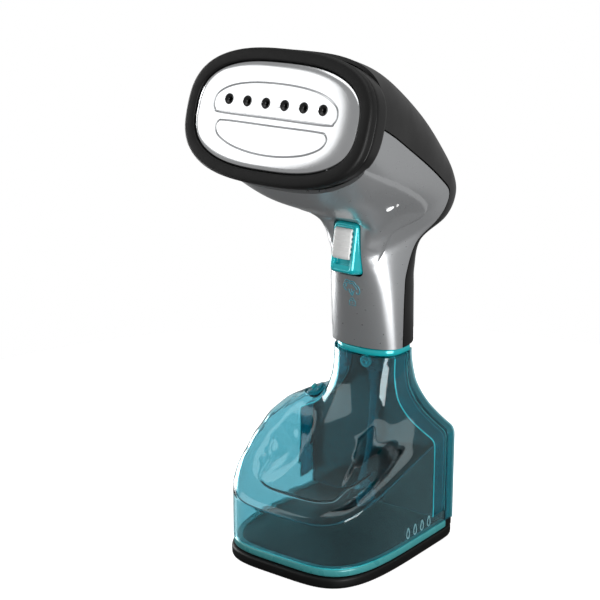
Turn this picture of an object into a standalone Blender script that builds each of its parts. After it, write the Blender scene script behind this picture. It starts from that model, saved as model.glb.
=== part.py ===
"""A hand-held garment steamer: steam head, handle, trigger and removable water tank.

Sizes are in millimetres and meshes are built in metres. The origin is under the middle of the
steamer's box, on the surface that it stands on: +X is its left side seen from the front, -Y is the
way the steam plate faces, +Z is up. Handle coordinates have Y = 0 on the axis of the handle.
"""

from math import asin, copysign, cos, pi, radians, sin, sqrt

import bmesh
import bpy
from mathutils import Vector

for old in list(bpy.data.objects):
    bpy.data.objects.remove(old, do_unlink=True)

mm = 0.001
gap = 0.35
wall = 2.0
parting_gap = 0.45 * wall

# ---- driving sizes ----------------------------------------------------------------------------
handle_behind_middle = 23.3
plate_half_width = 52.5
plate_half_height = 28.7
plate_thickness = 3.0
plate_tilt = 18.7
plate_centre_height = 260.9
plate_in_front_of_handle = 95.2
plate_squareness = 2.7
hole_pitch = 12.2
hole_count = 6
hole_diameter = 3.0
hole_sink_diameter = 6.0
hole_height = 6.2
groove_depth = 0.9
groove_width = 1.3
bezel_width = 7.0
bezel_depth = 6.2
collar_depth = 11.3

grip_half_width = 21.5
tank_top = 116.2
tank_half_width = 47.5
tank_front = 91.0
tank_back = 6.0
tank_wall = 1.8
band_low = 7.4
band_high = 12.2
band_overhang = 1.4
panel_back = 18.8
panel_overhang = 0.9
base_half_width = 49.5
base_front = 94.2
base_back = 21.5
base_height = 7.0
base_lift = 0.8
pad_thickness = 2.0
pad_inset = 3.0

trigger_width = 17.5
trigger_height = 30.0
trigger_lean = 10.5
trigger_face = 8.0
trigger_rear = 3.0
trigger_clearance = 0.7
trigger_drop_clearance = 1.9
window_width = 10.8
window_height = 19.7
window_top = 2.1
lock_height = 14.2
lock_ribs = 5
pivot_height = 188.5
pivot_forward = 22.0
pin_radius = 1.5

boiler_half_width = 41.0
boiler_half_height = 19.0
boiler_depth = 20.0
element_radius = 3.0
pump_coil_size = 20.0
pump_coil_height = 22.0
pump_middle_height = tank_top + 27.8
pump_bore = 4.6
hose_radius = 2.2

lens_radius = 2.3
fill_radius = 6.5
button_half_width = 5.5
button_half_height = 7.5
button_height = 134.0
actuator_height = -20.0
outlet_radius = 3.2
outlet_height = 101.0
port_back = 12.2
gland_radius = 6.0
gland_height = 30.0

# Sections of the head and handle, from the steam head back over the bulge and down the grip.
# Each is (crown y, z), (side y, z), (belly y, z), half width and squareness.
def head_section(depth, crown_rise, side_rise, belly_drop, half_width, squareness):
    """A section parallel to the steam plate, some way behind it."""
    tilt = radians(plate_tilt)
    row = []
    for rise in (crown_rise, side_rise, -belly_drop):
        row.append(-plate_in_front_of_handle + depth * cos(tilt) + rise * sin(tilt))
        row.append(plate_centre_height - depth * sin(tilt) + rise * cos(tilt))
    return (*row, half_width, squareness)


shell_start = bezel_depth + collar_depth + 2.7 * gap
body_sections = [
    head_section(
        shell_start, plate_half_height + 7.7, 3.5, plate_half_height + 5.5, plate_half_width - 0.5, 2.8
    ),
    (-45.0, 282.5, -57.0, 250.0, -71.0, 211.0, 48.0, 2.8),
    (-21.0, 270.0, -37.0, 240.5, -52.0, 203.0, 43.5, 2.7),
    (5.0, 254.0, -9.0, 226.5, -40.0, 196.5, 38.0, 2.5),
    (28.0, 236.5, 14.0, 214.5, -34.0, 190.0, 32.5, 2.3),
    (46.0, 218.5, 30.6, 204.3, -31.5, 184.0, 28.0, 2.3),
    (58.5, 201.0, 33.0, 195.2, -30.0, 178.0, 25.0, 2.3),
    (51.5, 185.8, 26.8, 187.2, -28.5, 173.0, 22.8, 2.3),
    (21.2, 178.6, 8.0, 177.6, -26.5, 167.0, 21.3, 2.3),
    (18.2, 161.3, -1.4, 161.3, -24.0, 160.0, 21.0, 2.3),
    (18.9, 148.0, -3.8, 147.4, -21.5, 147.0, 21.3, 2.3),
    (20.2, tank_top + 0.5, -4.8, tank_top + 0.5, -17.2, tank_top + 1.2, grip_half_width, 2.3),
]

# Rows of the tank from its crease up to its neck:
# (half width, front y, height at the front, height at the back, squareness)
tank_rows = [
    (1.0, -tank_front, 36.7, 66.0, 4.3),
    (0.975, -89.0, 40.0, 68.3, 4.1),
    (0.895, -83.0, 43.5, 70.5, 3.8),
    (0.78, -71.0, 46.5, 74.0, 3.4),
    (0.65, -58.0, 51.5, 78.7, 3.0),
    (0.54, -48.0, 58.5, 84.5, 2.7),
    (0.46, -37.5, 67.5, 91.0, 2.5),
    (0.425, -28.5, 79.0, 97.5, 2.4),
    (0.41, -22.5, 90.5, 104.0, 2.3),
    (0.412, -19.5, 102.0, 109.0, 2.3),
    (0.42, -17.8, 111.6, 111.6, 2.3),
]


# ---- shapes -----------------------------------------------------------------------------------
def signed_power(value, exponent):
    return copysign(abs(value) ** exponent, value)


def superellipse(half_width, half_height, squareness, sides, centre=(0.0, 0.0)):
    """Points round a superellipse, counter-clockwise."""
    points = []
    for k in range(sides):
        angle = 2 * pi * k / sides
        x = half_width * signed_power(cos(angle), 2 / squareness)
        y = half_height * signed_power(sin(angle), 2 / squareness)
        points.append((centre[0] + x, centre[1] + y))
    return points


def smooth_rows(rows, steps):
    """Rows of numbers with Catmull-Rom steps between them."""
    first = [2 * a - b for a, b in zip(rows[0], rows[1])]
    last = [2 * a - b for a, b in zip(rows[-1], rows[-2])]
    padded = [first] + [list(row) for row in rows] + [last]
    result = []
    for i in range(1, len(padded) - 2):
        for k in range(steps):
            t = k / steps
            result.append([
                0.5 * (2 * b + (c - a) * t + (2 * a - 5 * b + 4 * c - d) * t * t
                       + (3 * b - a - 3 * c + d) * t ** 3)
                for a, b, c, d in zip(padded[i - 1], padded[i], padded[i + 1], padded[i + 2])
            ])
    result.append(list(rows[-1]))
    return result


def material(name, colour, roughness, metallic):
    mat = bpy.data.materials.new(name)
    mat.use_nodes = True
    shader = mat.node_tree.nodes["Principled BSDF"]
    shader.inputs["Base Color"].default_value = (*colour, 1.0)
    shader.inputs["Roughness"].default_value = roughness
    shader.inputs["Metallic"].default_value = metallic
    return mat


finishes = {
    "black": ((0.006, 0.006, 0.006), 0.4, 0.0),
    "silver": ((0.42, 0.43, 0.44), 0.32, 0.6),
    "plate": ((0.8, 0.8, 0.8), 0.12, 1.0),
    "teal": ((0.02, 0.3, 0.33), 0.2, 0.0),
    "tank": ((0.03, 0.2, 0.24), 0.1, 0.0),
    "grey": ((0.5, 0.5, 0.5), 0.4, 0.0),
    "rubber": ((0.012, 0.012, 0.013), 0.85, 0.0),
    "cast": ((0.5, 0.5, 0.5), 0.5, 0.9),
    "steel": ((0.6, 0.6, 0.6), 0.3, 1.0),
    "copper": ((0.6, 0.26, 0.12), 0.4, 0.9),
    "silicone": ((0.7, 0.7, 0.66), 0.6, 0.0),
    "board": ((0.02, 0.16, 0.06), 0.5, 0.0),
    "nylon": ((0.75, 0.74, 0.7), 0.55, 0.0),
}


def add(name, bm, finish, parent, smooth_angle=40.0):
    """Links a finished bmesh, in millimetres, as one object with its own material."""
    bmesh.ops.scale(bm, vec=(mm, mm, mm), verts=bm.verts)
    mesh = bpy.data.meshes.new(name)
    bm.to_mesh(mesh)
    bm.free()
    mesh.shade_smooth()
    mesh.set_sharp_from_angle(angle=radians(smooth_angle))
    obj = bpy.data.objects.new(name, mesh)
    bpy.context.scene.collection.objects.link(obj)
    obj.parent = parent
    colour, roughness, metallic = finishes[finish]
    mesh.materials.append(material(name, colour, roughness, metallic))
    return obj


def empty(name, parent, location=(0, 0, 0), turn_x=0.0):
    obj = bpy.data.objects.new(name, None)
    bpy.context.scene.collection.objects.link(obj)
    obj.parent = parent
    obj.location = Vector(location) * mm
    obj.rotation_euler = (radians(turn_x), 0, 0)
    return obj


def loft(rings, closed=True, capped=True):
    """A skin over rings of the same number of points; capped ends close it."""
    bm = bmesh.new()
    loops = [[bm.verts.new(point) for point in ring] for ring in rings]
    count = len(loops[0])
    for low, high in zip(loops, loops[1:]):
        for j in range(count if closed else count - 1):
            nxt = (j + 1) % count
            bm.faces.new((low[j], low[nxt], high[nxt], high[j]))
    if closed and capped:
        bm.faces.new(list(reversed(loops[0])))
        bm.faces.new(loops[-1])
    if capped:
        bmesh.ops.recalc_face_normals(bm, faces=bm.faces)
    return bm


def slab(outline, low, high, axis="z"):
    """An outline of (a, b) points pushed along one axis between two places."""
    place = {
        "x": lambda a, b, h: (h, a, b),
        "y": lambda a, b, h: (a, h, b),
        "z": lambda a, b, h: (a, b, h),
    }[axis]
    return loft([[place(a, b, h) for a, b in outline] for h in (low, high)])


def block(low, high):
    outline = [(low[0], low[1]), (high[0], low[1]), (high[0], high[1]), (low[0], high[1])]
    return slab(outline, low[2], high[2])


def rounded(half_a, half_b, radius, centre=(0.0, 0.0), arc=4):
    """A rectangle with round corners, as (a, b) points."""
    points = []
    for quadrant in range(4):
        sign_a = (1, -1, -1, 1)[quadrant]
        sign_b = (1, 1, -1, -1)[quadrant]
        for k in range(arc + 1):
            angle = pi / 2 * (quadrant + k / arc)
            a = centre[0] + sign_a * (half_a - radius) + radius * cos(angle)
            b = centre[1] + sign_b * (half_b - radius) + radius * sin(angle)
            points.append((a, b))
    return points


def turned(profile, axis="z", centre=(0.0, 0.0, 0.0), sides=20):
    """A solid of revolution from (radius, height) points; a ring when no radius is zero."""
    hollow = min(radius for radius, _ in profile) > 0
    rings = []
    for radius, height in profile:
        ring = []
        for k in range(sides):
            angle = 2 * pi * k / sides
            across, up = radius * cos(angle), radius * sin(angle)
            point = {
                "x": (height, across, up),
                "y": (across, height, up),
                "z": (across, up, height),
            }[axis]
            ring.append(tuple(c + p for c, p in zip(centre, point)))
        rings.append(ring)
    if hollow:
        rings.append(rings[0])
    bm = loft(rings, capped=False)
    bmesh.ops.remove_doubles(bm, verts=bm.verts, dist=1e-4)
    bmesh.ops.recalc_face_normals(bm, faces=bm.faces)
    return bm


def rod(radius, start, end, axis="z", centre=(0.0, 0.0, 0.0), sides=16):
    return turned([(0, start), (radius, start), (radius, end), (0, end)], axis, centre, sides)


def swept(points, radius, sides=8, steps=3):
    """A round bar along a smooth path through the given points."""
    path = [Vector(p) for p in smooth_rows(points, steps)]
    rings = []
    start = path[1] - path[0]
    side = min((Vector((1, 0, 0)), Vector((0, 1, 0)), Vector((0, 0, 1))), key=lambda v: abs(v.dot(start)))
    for i, point in enumerate(path):
        ahead = path[min(i + 1, len(path) - 1)] - path[max(i - 1, 0)]
        ahead.normalize()
        side = (side - ahead * side.dot(ahead)).normalized()
        up = ahead.cross(side)
        rings.append([
            tuple(point + radius * (cos(2 * pi * k / sides) * side + sin(2 * pi * k / sides) * up))
            for k in range(sides)
        ])
    return loft(rings)


def cutter(name, bm, parent):
    """A solid that only cuts; it isn't part of the steamer."""
    bmesh.ops.scale(bm, vec=(mm, mm, mm), verts=bm.verts)
    mesh = bpy.data.meshes.new(name)
    bm.to_mesh(mesh)
    bm.free()
    obj = bpy.data.objects.new(name, mesh)
    bpy.context.scene.collection.objects.link(obj)
    obj.parent = parent
    obj.hide_render = True
    obj.display_type = "WIRE"
    return obj


def combine(obj, other, operation):
    modifier = obj.modifiers.new(other.name, "BOOLEAN")
    modifier.operation = operation
    modifier.solver = "EXACT"
    modifier.object = other


def cut(obj, name, bm, parent):
    combine(obj, cutter("cut_" + name, bm, parent), "DIFFERENCE")


def join(obj, name, bm, parent):
    combine(obj, cutter("join_" + name, bm, parent), "UNION")


def bevel(obj, width, segments=2, angle=40.0):
    modifier = obj.modifiers.new("round_edges", "BEVEL")
    modifier.width = width * mm
    modifier.segments = segments
    modifier.limit_method = "ANGLE"
    modifier.angle_limit = radians(angle)
    modifier.use_clamp_overlap = True


def thicken(obj, thickness):
    modifier = obj.modifiers.new("wall", "SOLIDIFY")
    modifier.thickness = thickness * mm
    modifier.offset = -1.0
    modifier.use_even_offset = True


# ---- places -----------------------------------------------------------------------------------
steamer = empty("steamer", None, (0, handle_behind_middle, 0))
head = empty(
    "head", steamer, (0, -plate_in_front_of_handle, plate_centre_height), turn_x=-plate_tilt
)
trigger_pivot = empty(
    "trigger_pivot", steamer, (0, -pivot_forward, pivot_height), turn_x=-trigger_lean
)
lens_place = empty("lens_place", steamer, (32.3, -34.3, 207.8))
lens_place.rotation_euler = Vector((0.75, -0.08, -0.65)).to_track_quat("Z", "Y").to_euler()
fill_place = empty("fill_place", steamer, (-0.695 * tank_half_width, -15.0, 73.2))
fill_place.rotation_euler = Vector((-0.55, -0.18, 0.8)).to_track_quat("Z", "Y").to_euler()
board_place = empty("board_place", steamer, (0, 14.0, 222.0), turn_x=55.0)


# ---- steam head, in the head's own coordinates: X across, Y back from the plate, Z up the plate --
def arched_outline(half_flat, arch, corner, flat_height, direction, steps=14):
    """A closed arch: one flat side and one bowed side, with round ends."""
    points = []
    for k in range(steps + 1):
        angle = pi * k / steps
        across = (half_flat + corner) * signed_power(cos(angle), 0.8)
        points.append((across, flat_height + direction * arch * signed_power(sin(angle), 0.72)))
    return points


def groove_ring(outline, width, depth):
    """A closed channel that follows an outline, cut into the plate's front face."""
    centre_x = sum(a for a, _ in outline) / len(outline)
    centre_z = sum(b for _, b in outline) / len(outline)
    rings = []
    for share, y in ((1.0, -1.0), (1.0, depth), (-1.0, depth), (-1.0, -1.0)):
        ring = []
        for a, b in outline:
            away = Vector((a - centre_x, (b - centre_z) * 3)).normalized() * share * width / 2
            ring.append((a + away.x, y, b + away.y))
        rings.append(ring)
    rings.append(rings[0])
    bm = loft(rings, capped=False)
    bmesh.ops.remove_doubles(bm, verts=bm.verts, dist=1e-4)
    bmesh.ops.recalc_face_normals(bm, faces=bm.faces)
    return bm


def make_steam_plate():
    outline = superellipse(plate_half_width, plate_half_height, plate_squareness, 40)
    plate = add("steam_plate", slab(outline, 0, plate_thickness, "y"), "plate", head)
    upper = arched_outline(36.0, 18.3, 3.6, -1.3, 1)
    lower = arched_outline(32.0, 15.5, 3.6, -5.1, -1)
    cut(plate, "upper_groove", groove_ring(upper, groove_width, groove_depth), head)
    cut(plate, "lower_groove", groove_ring(lower, groove_width, groove_depth), head)
    for k in range(hole_count):
        x = hole_pitch * (k - (hole_count - 1) / 2)
        profile = [
            (0, -1.0), (hole_sink_diameter / 2 + 1.0, -1.0), (hole_sink_diameter / 2, 0.0),
            (hole_diameter / 2, 1.6), (hole_diameter / 2, plate_thickness + 1), (0, plate_thickness + 1),
        ]
        bm = turned(profile, "y", (x, 0, hole_height), 12)
        cut(plate, f"steam_hole_{k + 1}", bm, head)


def ring_solid(outer, inner, front, back, outer_back=None):
    """A hoop between two outlines; the outer one may end in another outline at the back."""
    rings = [
        [(a, front, b) for a, b in inner],
        [(a, front, b) for a, b in outer],
        [(a, back, b) for a, b in (outer_back or outer)],
        [(a, back, b) for a, b in inner],
    ]
    rings.append(rings[0])
    bm = loft(rings, capped=False)
    bmesh.ops.remove_doubles(bm, verts=bm.verts, dist=1e-4)
    bmesh.ops.recalc_face_normals(bm, faces=bm.faces)
    return bm


def head_outline(extra, sides=40, rise=0.0):
    return superellipse(
        plate_half_width + extra, plate_half_height + extra, plate_squareness, sides, (0, rise)
    )


def make_head_rings():
    bezel = add(
        "plate_bezel",
        ring_solid(head_outline(bezel_width), head_outline(gap), 0.6, bezel_depth),
        "black", head,
    )
    bevel(bezel, 1.5, 1, 60)
    start = bezel_depth + gap
    collar = add(
        "head_collar",
        ring_solid(
            head_outline(bezel_width - 0.4), head_outline(0.5), start, start + collar_depth,
            head_outline(bezel_width - 1.8, rise=1.4),
        ),
        "black", head,
    )
    bevel(collar, 0.6, 1, 60)
    seal_outline = head_outline(-1.5)
    seal = ring_solid(seal_outline, head_outline(-6.0), plate_thickness + gap, plate_thickness + 2.2)
    add("plate_seal", seal, "silicone", head)


def u_path(half_width, half_height, y, turns=8):
    """Points of a U that opens to -X, in a plane behind the plate."""
    points = [(-half_width, y, half_height), (-half_width / 2, y, half_height), (0, y, half_height)]
    for k in range(turns + 1):
        angle = pi / 2 - pi * k / turns
        points.append((half_width * 0.55 + half_height * cos(angle), y, half_height * sin(angle)))
    points += [(0, y, -half_height), (-half_width / 2, y, -half_height), (-half_width, y, -half_height)]
    return points


def u_band(half_width, half_height, width, turns=8):
    """Outline of a U-shaped channel of one width round the same path."""
    outer, inner = [(-half_width - 6, half_height + width)], [(-half_width - 6, half_height - width)]
    for k in range(turns + 1):
        angle = pi / 2 - pi * k / turns
        for points, radius in ((outer, half_height + width), (inner, half_height - width)):
            points.append((half_width * 0.55 + radius * cos(angle), radius * sin(angle)))
    outer.append((-half_width - 6, -half_height - width))
    inner.append((-half_width - 6, -half_height + width))
    return outer + list(reversed(inner))


boiler_front = plate_thickness + 2.2 + gap
boiler_back = boiler_front + boiler_depth


def make_boiler():
    outline = superellipse(boiler_half_width, boiler_half_height, 3.6, 32)
    body = add("boiler_body", slab(outline, boiler_front, boiler_back, "y"), "cast", head)
    element_y = boiler_back - element_radius - gap
    element_path = u_path(boiler_half_width - 5, boiler_half_height - 8, element_y)
    channel = u_band(boiler_half_width - 5, boiler_half_height - 8, element_radius + 3 * gap)
    floor_y = element_y - element_radius - gap
    cut(body, "element_channel", slab(channel, floor_y, boiler_back + 2, "y"), head)
    cut(body, "steam_chamber", slab(superellipse(36, 5, 3, 20), boiler_front - 1, boiler_front + 8, "y"), head)
    add("heating_element", swept(element_path, element_radius, 8, 2), "steel", head)
    lid_low = boiler_back + gap
    lid = add(
        "boiler_lid",
        slab(superellipse(boiler_half_width, boiler_half_height, 3.6, 32), lid_low, lid_low + 2.5, "y"),
        "cast", head,
    )
    cut(lid, "inlet", rod(2.8, lid_low - 2, lid_low + 6, "y", (0, 0, 0), 16), head)
    inlet_base = [(1.2, lid_low + 2.5 + gap), (5.0, lid_low + 2.5 + gap), (5.0, lid_low + 4.5),
                  (2.4, lid_low + 4.8), (2.4, lid_low + 9.0), (1.2, lid_low + 9.0)]
    add("boiler_inlet", turned(inlet_base, "y"), "cast", head)
    return lid_low + 2.5


def make_head_electrics(lid_back):
    start = lid_back + gap
    disc = [(0, start), (8, start), (8, start + 4), (6, start + 5.5), (0, start + 5.5)]
    add("thermostat", turned(disc, "y", (-18, 0, 0)), "steel", head)
    add("thermal_fuse", rod(2.0, -7, 7, "z", (18, start + 2.0, 0), 12), "nylon", head)
    clamp = add("fuse_clamp", block((13.5, start, -2.5), (22.5, start + 6.0, 2.5)), "steel", head)
    cut(clamp, "fuse_bore", rod(2.0 + gap, -4, 4, "z", (18, start + 2.0, 0), 12), head)
    cut(clamp, "fuse_mouth", block((16.0, start - 1, -4), (20.0, start + 2, 4)), head)
    for k, (x, z) in enumerate(((-34, 13), (34, 13), (-34, -13), (34, -13))):
        screw = [(0, start), (2.8, start), (2.8, start + 1.2), (2.0, start + 2.2), (0, start + 2.2)]
        add(f"boiler_screw_{k + 1}", turned(screw, "y", (x, 0, z), 12), "steel", head)


# ---- shells of the head and grip ------------------------------------------------------------------
def body_row(section, outer_half, around):
    """Half of one section: points from the left parting edge round to the right one."""
    crown_y, crown_z, side_y, side_z, belly_y, belly_z, half_width, squareness = section
    end = (crown_y, crown_z) if outer_half else (belly_y, belly_z)
    length = sqrt((end[0] - side_y) ** 2 + (end[1] - side_z) ** 2)
    start = parting_gap / 2 / length
    row = []
    for k in range(around + 1):
        angle = pi * k / around
        x = half_width * signed_power(cos(angle), 2 / squareness)
        share = start + (1 - start) * signed_power(sin(angle), 2 / squareness)
        row.append((x, side_y + (end[0] - side_y) * share, side_z + (end[1] - side_z) * share))
    return row


def make_half_shell(name, outer_half, finish):
    sections = smooth_rows(body_sections, 2)
    rows = [body_row(section, outer_half, 16) for section in sections]
    if outer_half:
        rows = [list(reversed(row)) for row in rows]
    bm = loft(rows, closed=False, capped=False)
    shell = add(name, bm, finish, steamer, 50)
    thicken(shell, wall)
    return shell


def make_shells():
    front = make_half_shell("front_shell", False, "silver")
    rear = make_half_shell("rear_cover", True, "black")
    half = trigger_width / 2 + trigger_clearance
    opening = rounded(
        half, (trigger_height + trigger_clearance + trigger_drop_clearance) / 2, 3.5,
        (0, 3.1 + trigger_clearance - (trigger_height + trigger_clearance + trigger_drop_clearance) / 2),
    )
    cut(front, "trigger_opening", slab(opening, -18, 7, "y"), trigger_pivot)
    cut(front, "lens_hole", rod(lens_radius + gap, -8, 8), lens_place)
    button = rounded(button_half_width + gap, button_half_height + gap, 4.0, (0, button_height))
    cut(rear, "button_hole", slab(button, 12, 30, "y"), steamer)


# ---- trigger, in its pivot's coordinates: Y back from the pin, Z up the trigger's face ---------
def make_trigger():
    top = 3.1
    bottom = top - trigger_height
    half = trigger_width / 2
    rows = []
    for y, inset in ((-trigger_face, 1.6), (-trigger_face + 1.6, 0.35), (trigger_rear, 0.0)):
        outline = rounded(
            half - inset, trigger_height / 2 - inset, 3.0, (0, (top + bottom) / 2), 3
        )
        rows.append([(a, y, b) for a, b in outline])
    bm = loft(rows)
    trigger = add("trigger", bm, "teal", trigger_pivot)
    inside = half - 1.6
    cut(trigger, "trigger_pocket",
        block((-inside, -trigger_face + 3.1, bottom + 1.5), (inside, trigger_rear + 3, top - 1.7)),
        trigger_pivot)
    cut(trigger, "spring_room", block((-inside, -3.4, -4), (inside, trigger_rear + 3, top + 3)), trigger_pivot)
    window = rounded(window_width / 2, window_height / 2, 0.5, (0, -window_top - window_height / 2), 3)
    cut(trigger, "lock_window", slab(window, -trigger_face - 4, -trigger_face + 5, "y"), trigger_pivot)
    cut(trigger, "pin_bore", rod(pin_radius + gap, -20, 20, "x", sides=16), trigger_pivot)
    bar = block((-inside - 0.8, 0.9, actuator_height - 1.5), (inside + 0.8, trigger_rear - 0.2, actuator_height + 1.5))
    join(trigger, "actuator_bar", bar, trigger_pivot)


def make_lock():
    """The ribbed slider that locks the trigger; it rests at the top of its window."""
    top = -window_top - 0.3
    face = -trigger_face - 0.5
    rib = lock_height / lock_ribs
    outline = [(face + 1.9, top)]
    for k in range(lock_ribs):
        z = top - rib * k
        outline += [(face, z - 0.25 * rib), (face, z - 0.8 * rib), (face + 0.6, z - rib)]
    outline.append((-trigger_face + 3.45, top - lock_height))
    outline.append((-trigger_face + 3.45, top))
    half = window_width / 2 - gap
    lock = add("trigger_lock", slab(outline, -half, half, "x"), "grey", trigger_pivot)
    flange = block((-half - 1.0, -trigger_face + 3.45, top - lock_height - 1.4),
                   (half + 1.0, -trigger_face + 4.9, top + 0.9))
    join(lock, "lock_flange", flange, trigger_pivot)


def make_trigger_works():
    add("trigger_pin", rod(pin_radius, -11.4, 11.4, "x"), "steel", trigger_pivot)
    plate_y = 12.0
    bracket = add(
        "trigger_bracket", block((-11.2, plate_y, -27), (11.2, plate_y + 1.6, 4.5)), "nylon", trigger_pivot
    )
    for side, name in ((-1, "right"), (1, "left")):
        low, high = sorted((side * 9.5, side * 11.2))
        join(bracket, f"bracket_ear_{name}", block((low, -2.5, -2.6), (high, plate_y + 1, 4.5)), trigger_pivot)
    cut(bracket, "bracket_bore", rod(pin_radius + 0.2, -20, 20, "x", sides=16), trigger_pivot)
    switch = add("microswitch", block((-3, 5.2, -24.2), (3, plate_y - gap, -13.5)), "black", trigger_pivot)
    cut(switch, "plunger_slot", block((-1.3, 4, actuator_height - 1.3), (1.3, 10.5, actuator_height + 1.3)), trigger_pivot)
    plunger = block((-0.95, trigger_rear + 0.15, actuator_height - 0.95), (0.95, 7.6, actuator_height + 0.95))
    add("switch_plunger", plunger, "nylon", trigger_pivot)
    coil_radius, turns, pitch = 2.5, 3, 1.6
    steps = 10
    path = []
    for k in range(turns * steps + 1):
        angle = 2 * pi * k / steps
        path.append((pitch * (k / steps - turns / 2), coil_radius * cos(angle), coil_radius * sin(angle)))
    rings = []
    for k, (x, y, z) in enumerate(path):
        out = Vector((0, y, z)).normalized()
        ring = []
        for j in range(4):
            angle = 2 * pi * j / 4
            ring.append(tuple(Vector((x, y, z)) + 0.35 * (cos(angle) * out + sin(angle) * Vector((1, 0, 0)))))
        rings.append(ring)
    add("trigger_spring", loft(rings), "steel", trigger_pivot)


# ---- water pump and hoses, in the grip ---------------------------------------------------------
def make_pump():
    half = pump_coil_size / 2
    y = -2.0
    low = pump_middle_height - pump_coil_height / 2
    high = pump_middle_height + pump_coil_height / 2
    coil = add("pump_coil", slab(rounded(half, half, 3, (0, y)), low, high), "copper", steamer)
    cut(coil, "pump_bore", rod(pump_bore + gap, low - 2, high + 2, "z", (0, y, 0), 20), steamer)
    end = 8.5
    barrel = [
        (0, low - end), (hose_radius - 0.4, low - end), (hose_radius - 0.4, low - 4.5), (pump_bore, low - 4.5),
        (pump_bore, high + 4.5), (hose_radius - 0.4, high + 4.5), (hose_radius - 0.4, high + end), (0, high + end),
    ]
    add("pump_barrel", turned(barrel, "z", (0, y, 0)), "nylon", steamer)
    for name, at in (("lower", low - 4.2), ("upper", high + gap)):
        mount = add(
            f"pump_mount_{name}", slab(rounded(13, 9.5, 3, (0, y)), at, at + 3.8), "rubber", steamer
        )
        cut(mount, f"mount_bore_{name}", rod(pump_bore + gap, at - 2, at + 6, "z", (0, y, 0), 20), steamer)
    hose = hose_radius
    add(
        "outlet_hose",
        swept([(0, y, high + end + gap), (0, y + 1, 174), (0, 5, 190), (0, 0, 210), (0, -18, 229),
               (0, -38, 239), (0, -53.5, 246.6)], hose),
        "silicone", steamer,
    )
    add(
        "inlet_hose",
        swept([(0, y, low - end - 2 * gap), (0, y + 1.2, tank_top + 5), (0, y + 8, tank_top + 2.8),
               (0, port_back - 1.2, tank_top - 0.5), (0, port_back, tank_top - 7)], hose),
        "silicone", steamer,
    )


def make_board():
    board = add("control_board", block((-15, -0.8, -18), (15, 0.8, 18)), "board", board_place)
    bevel(board, 0.8, 1, 60)
    relay = add("relay", block((-8, 1.1, -12), (6, 11, 2)), "black", board_place)
    bevel(relay, 0.6, 1, 60)
    add("capacitor", rod(4.5, 1.1, 13, "y", (9, 0, 10), 16), "nylon", board_place)


# ---- back panel and base -----------------------------------------------------------------------
def bell_side(outward, bottom, top):
    """Right side of the bell, from the bottom up to the neck, moved outward square to itself."""
    side = [(tank_half_width, bottom)]
    side += [(row[0] * tank_half_width, row[3]) for row in smooth_rows(tank_rows, 1)]
    moved = []
    for k, (x, z) in enumerate(side):
        before, after = side[max(k - 1, 0)], side[min(k + 1, len(side) - 1)]
        along = Vector((after[0] - before[0], after[1] - before[1])).normalized()
        moved.append((x + along.y * outward, z - along.x * outward))
    moved[0] = (tank_half_width + outward, bottom)
    moved[-1] = (moved[-1][0], top)
    return moved


def bell_outline(outward, bottom, top):
    right = bell_side(outward, bottom, top)
    return right + [(-x, z) for x, z in reversed(right)]


def panel_row(half_width, z, share, front, around=16):
    """One level of the back panel: flat in front, round behind, rounder towards the grip."""
    squareness = 5.0 - 2.6 * share
    middle = front - 11.0 * share
    back = panel_back + 1.2 * share
    depth = back - middle
    lowest = rise_angle(front - middle, depth, squareness)
    row = []
    for k in range(around + 1):
        angle = lowest + (pi - 2 * lowest) * k / around
        x = half_width * signed_power(cos(angle), 2 / squareness)
        row.append((x, middle + depth * signed_power(sin(angle), 2 / squareness), z))
    return row


def rise_angle(offset, depth, squareness):
    """Angle where a superellipse quarter has come in by an offset."""
    return asin((max(offset, 0.0) / depth) ** (squareness / 2))


def make_back_panel():
    low = base_height + gap
    top = tank_top - gap
    front = tank_back + gap
    shoulder = tank_rows[0][3]
    rows = []
    for x, z in bell_side(panel_overhang, low, top):
        share = max(0.0, (z - shoulder) / (top - shoulder)) ** 0.7
        rows.append(panel_row(x, z, share, front))
    panel = add("back_panel", loft(rows), "black", steamer, 50)
    channel = block((-9, front - 2, 20), (9, panel_back - 3, top + 5))
    cut(panel, "panel_channel", channel, steamer)
    for k, x in enumerate((-29, 29)):
        cut(panel, f"panel_lightening_{k + 1}",
            block((x - 12, front + 2, low - 3), (x + 12, panel_back - 3.5, 60)), steamer)
    cut(panel, "gland_hole", rod(gland_radius + gap, 10, 30, "y", (0, 0, gland_height), 20), steamer)
    cover_top = outlet_height - 7.0
    cover = block((-8.6, front + 0.1, 20.4), (8.6, front + 1.6, cover_top))
    bevel(add("channel_cover", cover, "black", steamer), 0.4, 1, 60)
    coupling_profile = [
        (outlet_radius + gap, front + 0.5), (6.0, front + 0.5), (6.0, panel_back - 3.4),
        (0.0, panel_back - 3.4), (0.0, front + 5.5), (outlet_radius + gap, front + 5.5),
    ]
    bm = turned_loop(coupling_profile, "y", (0, 0, outlet_height))
    coupling = add("tank_coupling", bm, "nylon", steamer)
    port = (0, port_back, outlet_height)
    join(coupling, "coupling_port", rod(hose_radius + 0.9, 4.3, 6.6, "z", port, 14), steamer)
    cut(coupling, "coupling_bore", rod(hose_radius + gap, 4.6, 12, "z", port, 12), steamer)


def turned_loop(profile, axis, centre):
    """A turned solid whose profile starts away from the axis and touches it in the middle."""
    k = next(i for i, (radius, _) in enumerate(profile) if radius == 0)
    ordered = profile[k + 1:] + profile[:k + 1]
    return turned(ordered, axis, centre)


def footprint(half_width, front, back, squareness_front=4.3, squareness_back=5.0, sides=32):
    """Outline on the ground: a long rounded nose to the front and a short rounded back."""
    middle = -6.0
    points = []
    for k in range(sides):
        angle = 2 * pi * k / sides
        length = back - middle if sin(angle) > 0 else front + middle
        squareness = squareness_back if sin(angle) > 0 else squareness_front
        x = half_width * signed_power(cos(angle), 2 / squareness)
        y = middle + length * signed_power(sin(angle), 2 / squareness)
        points.append((x, y))
    return points


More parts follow.
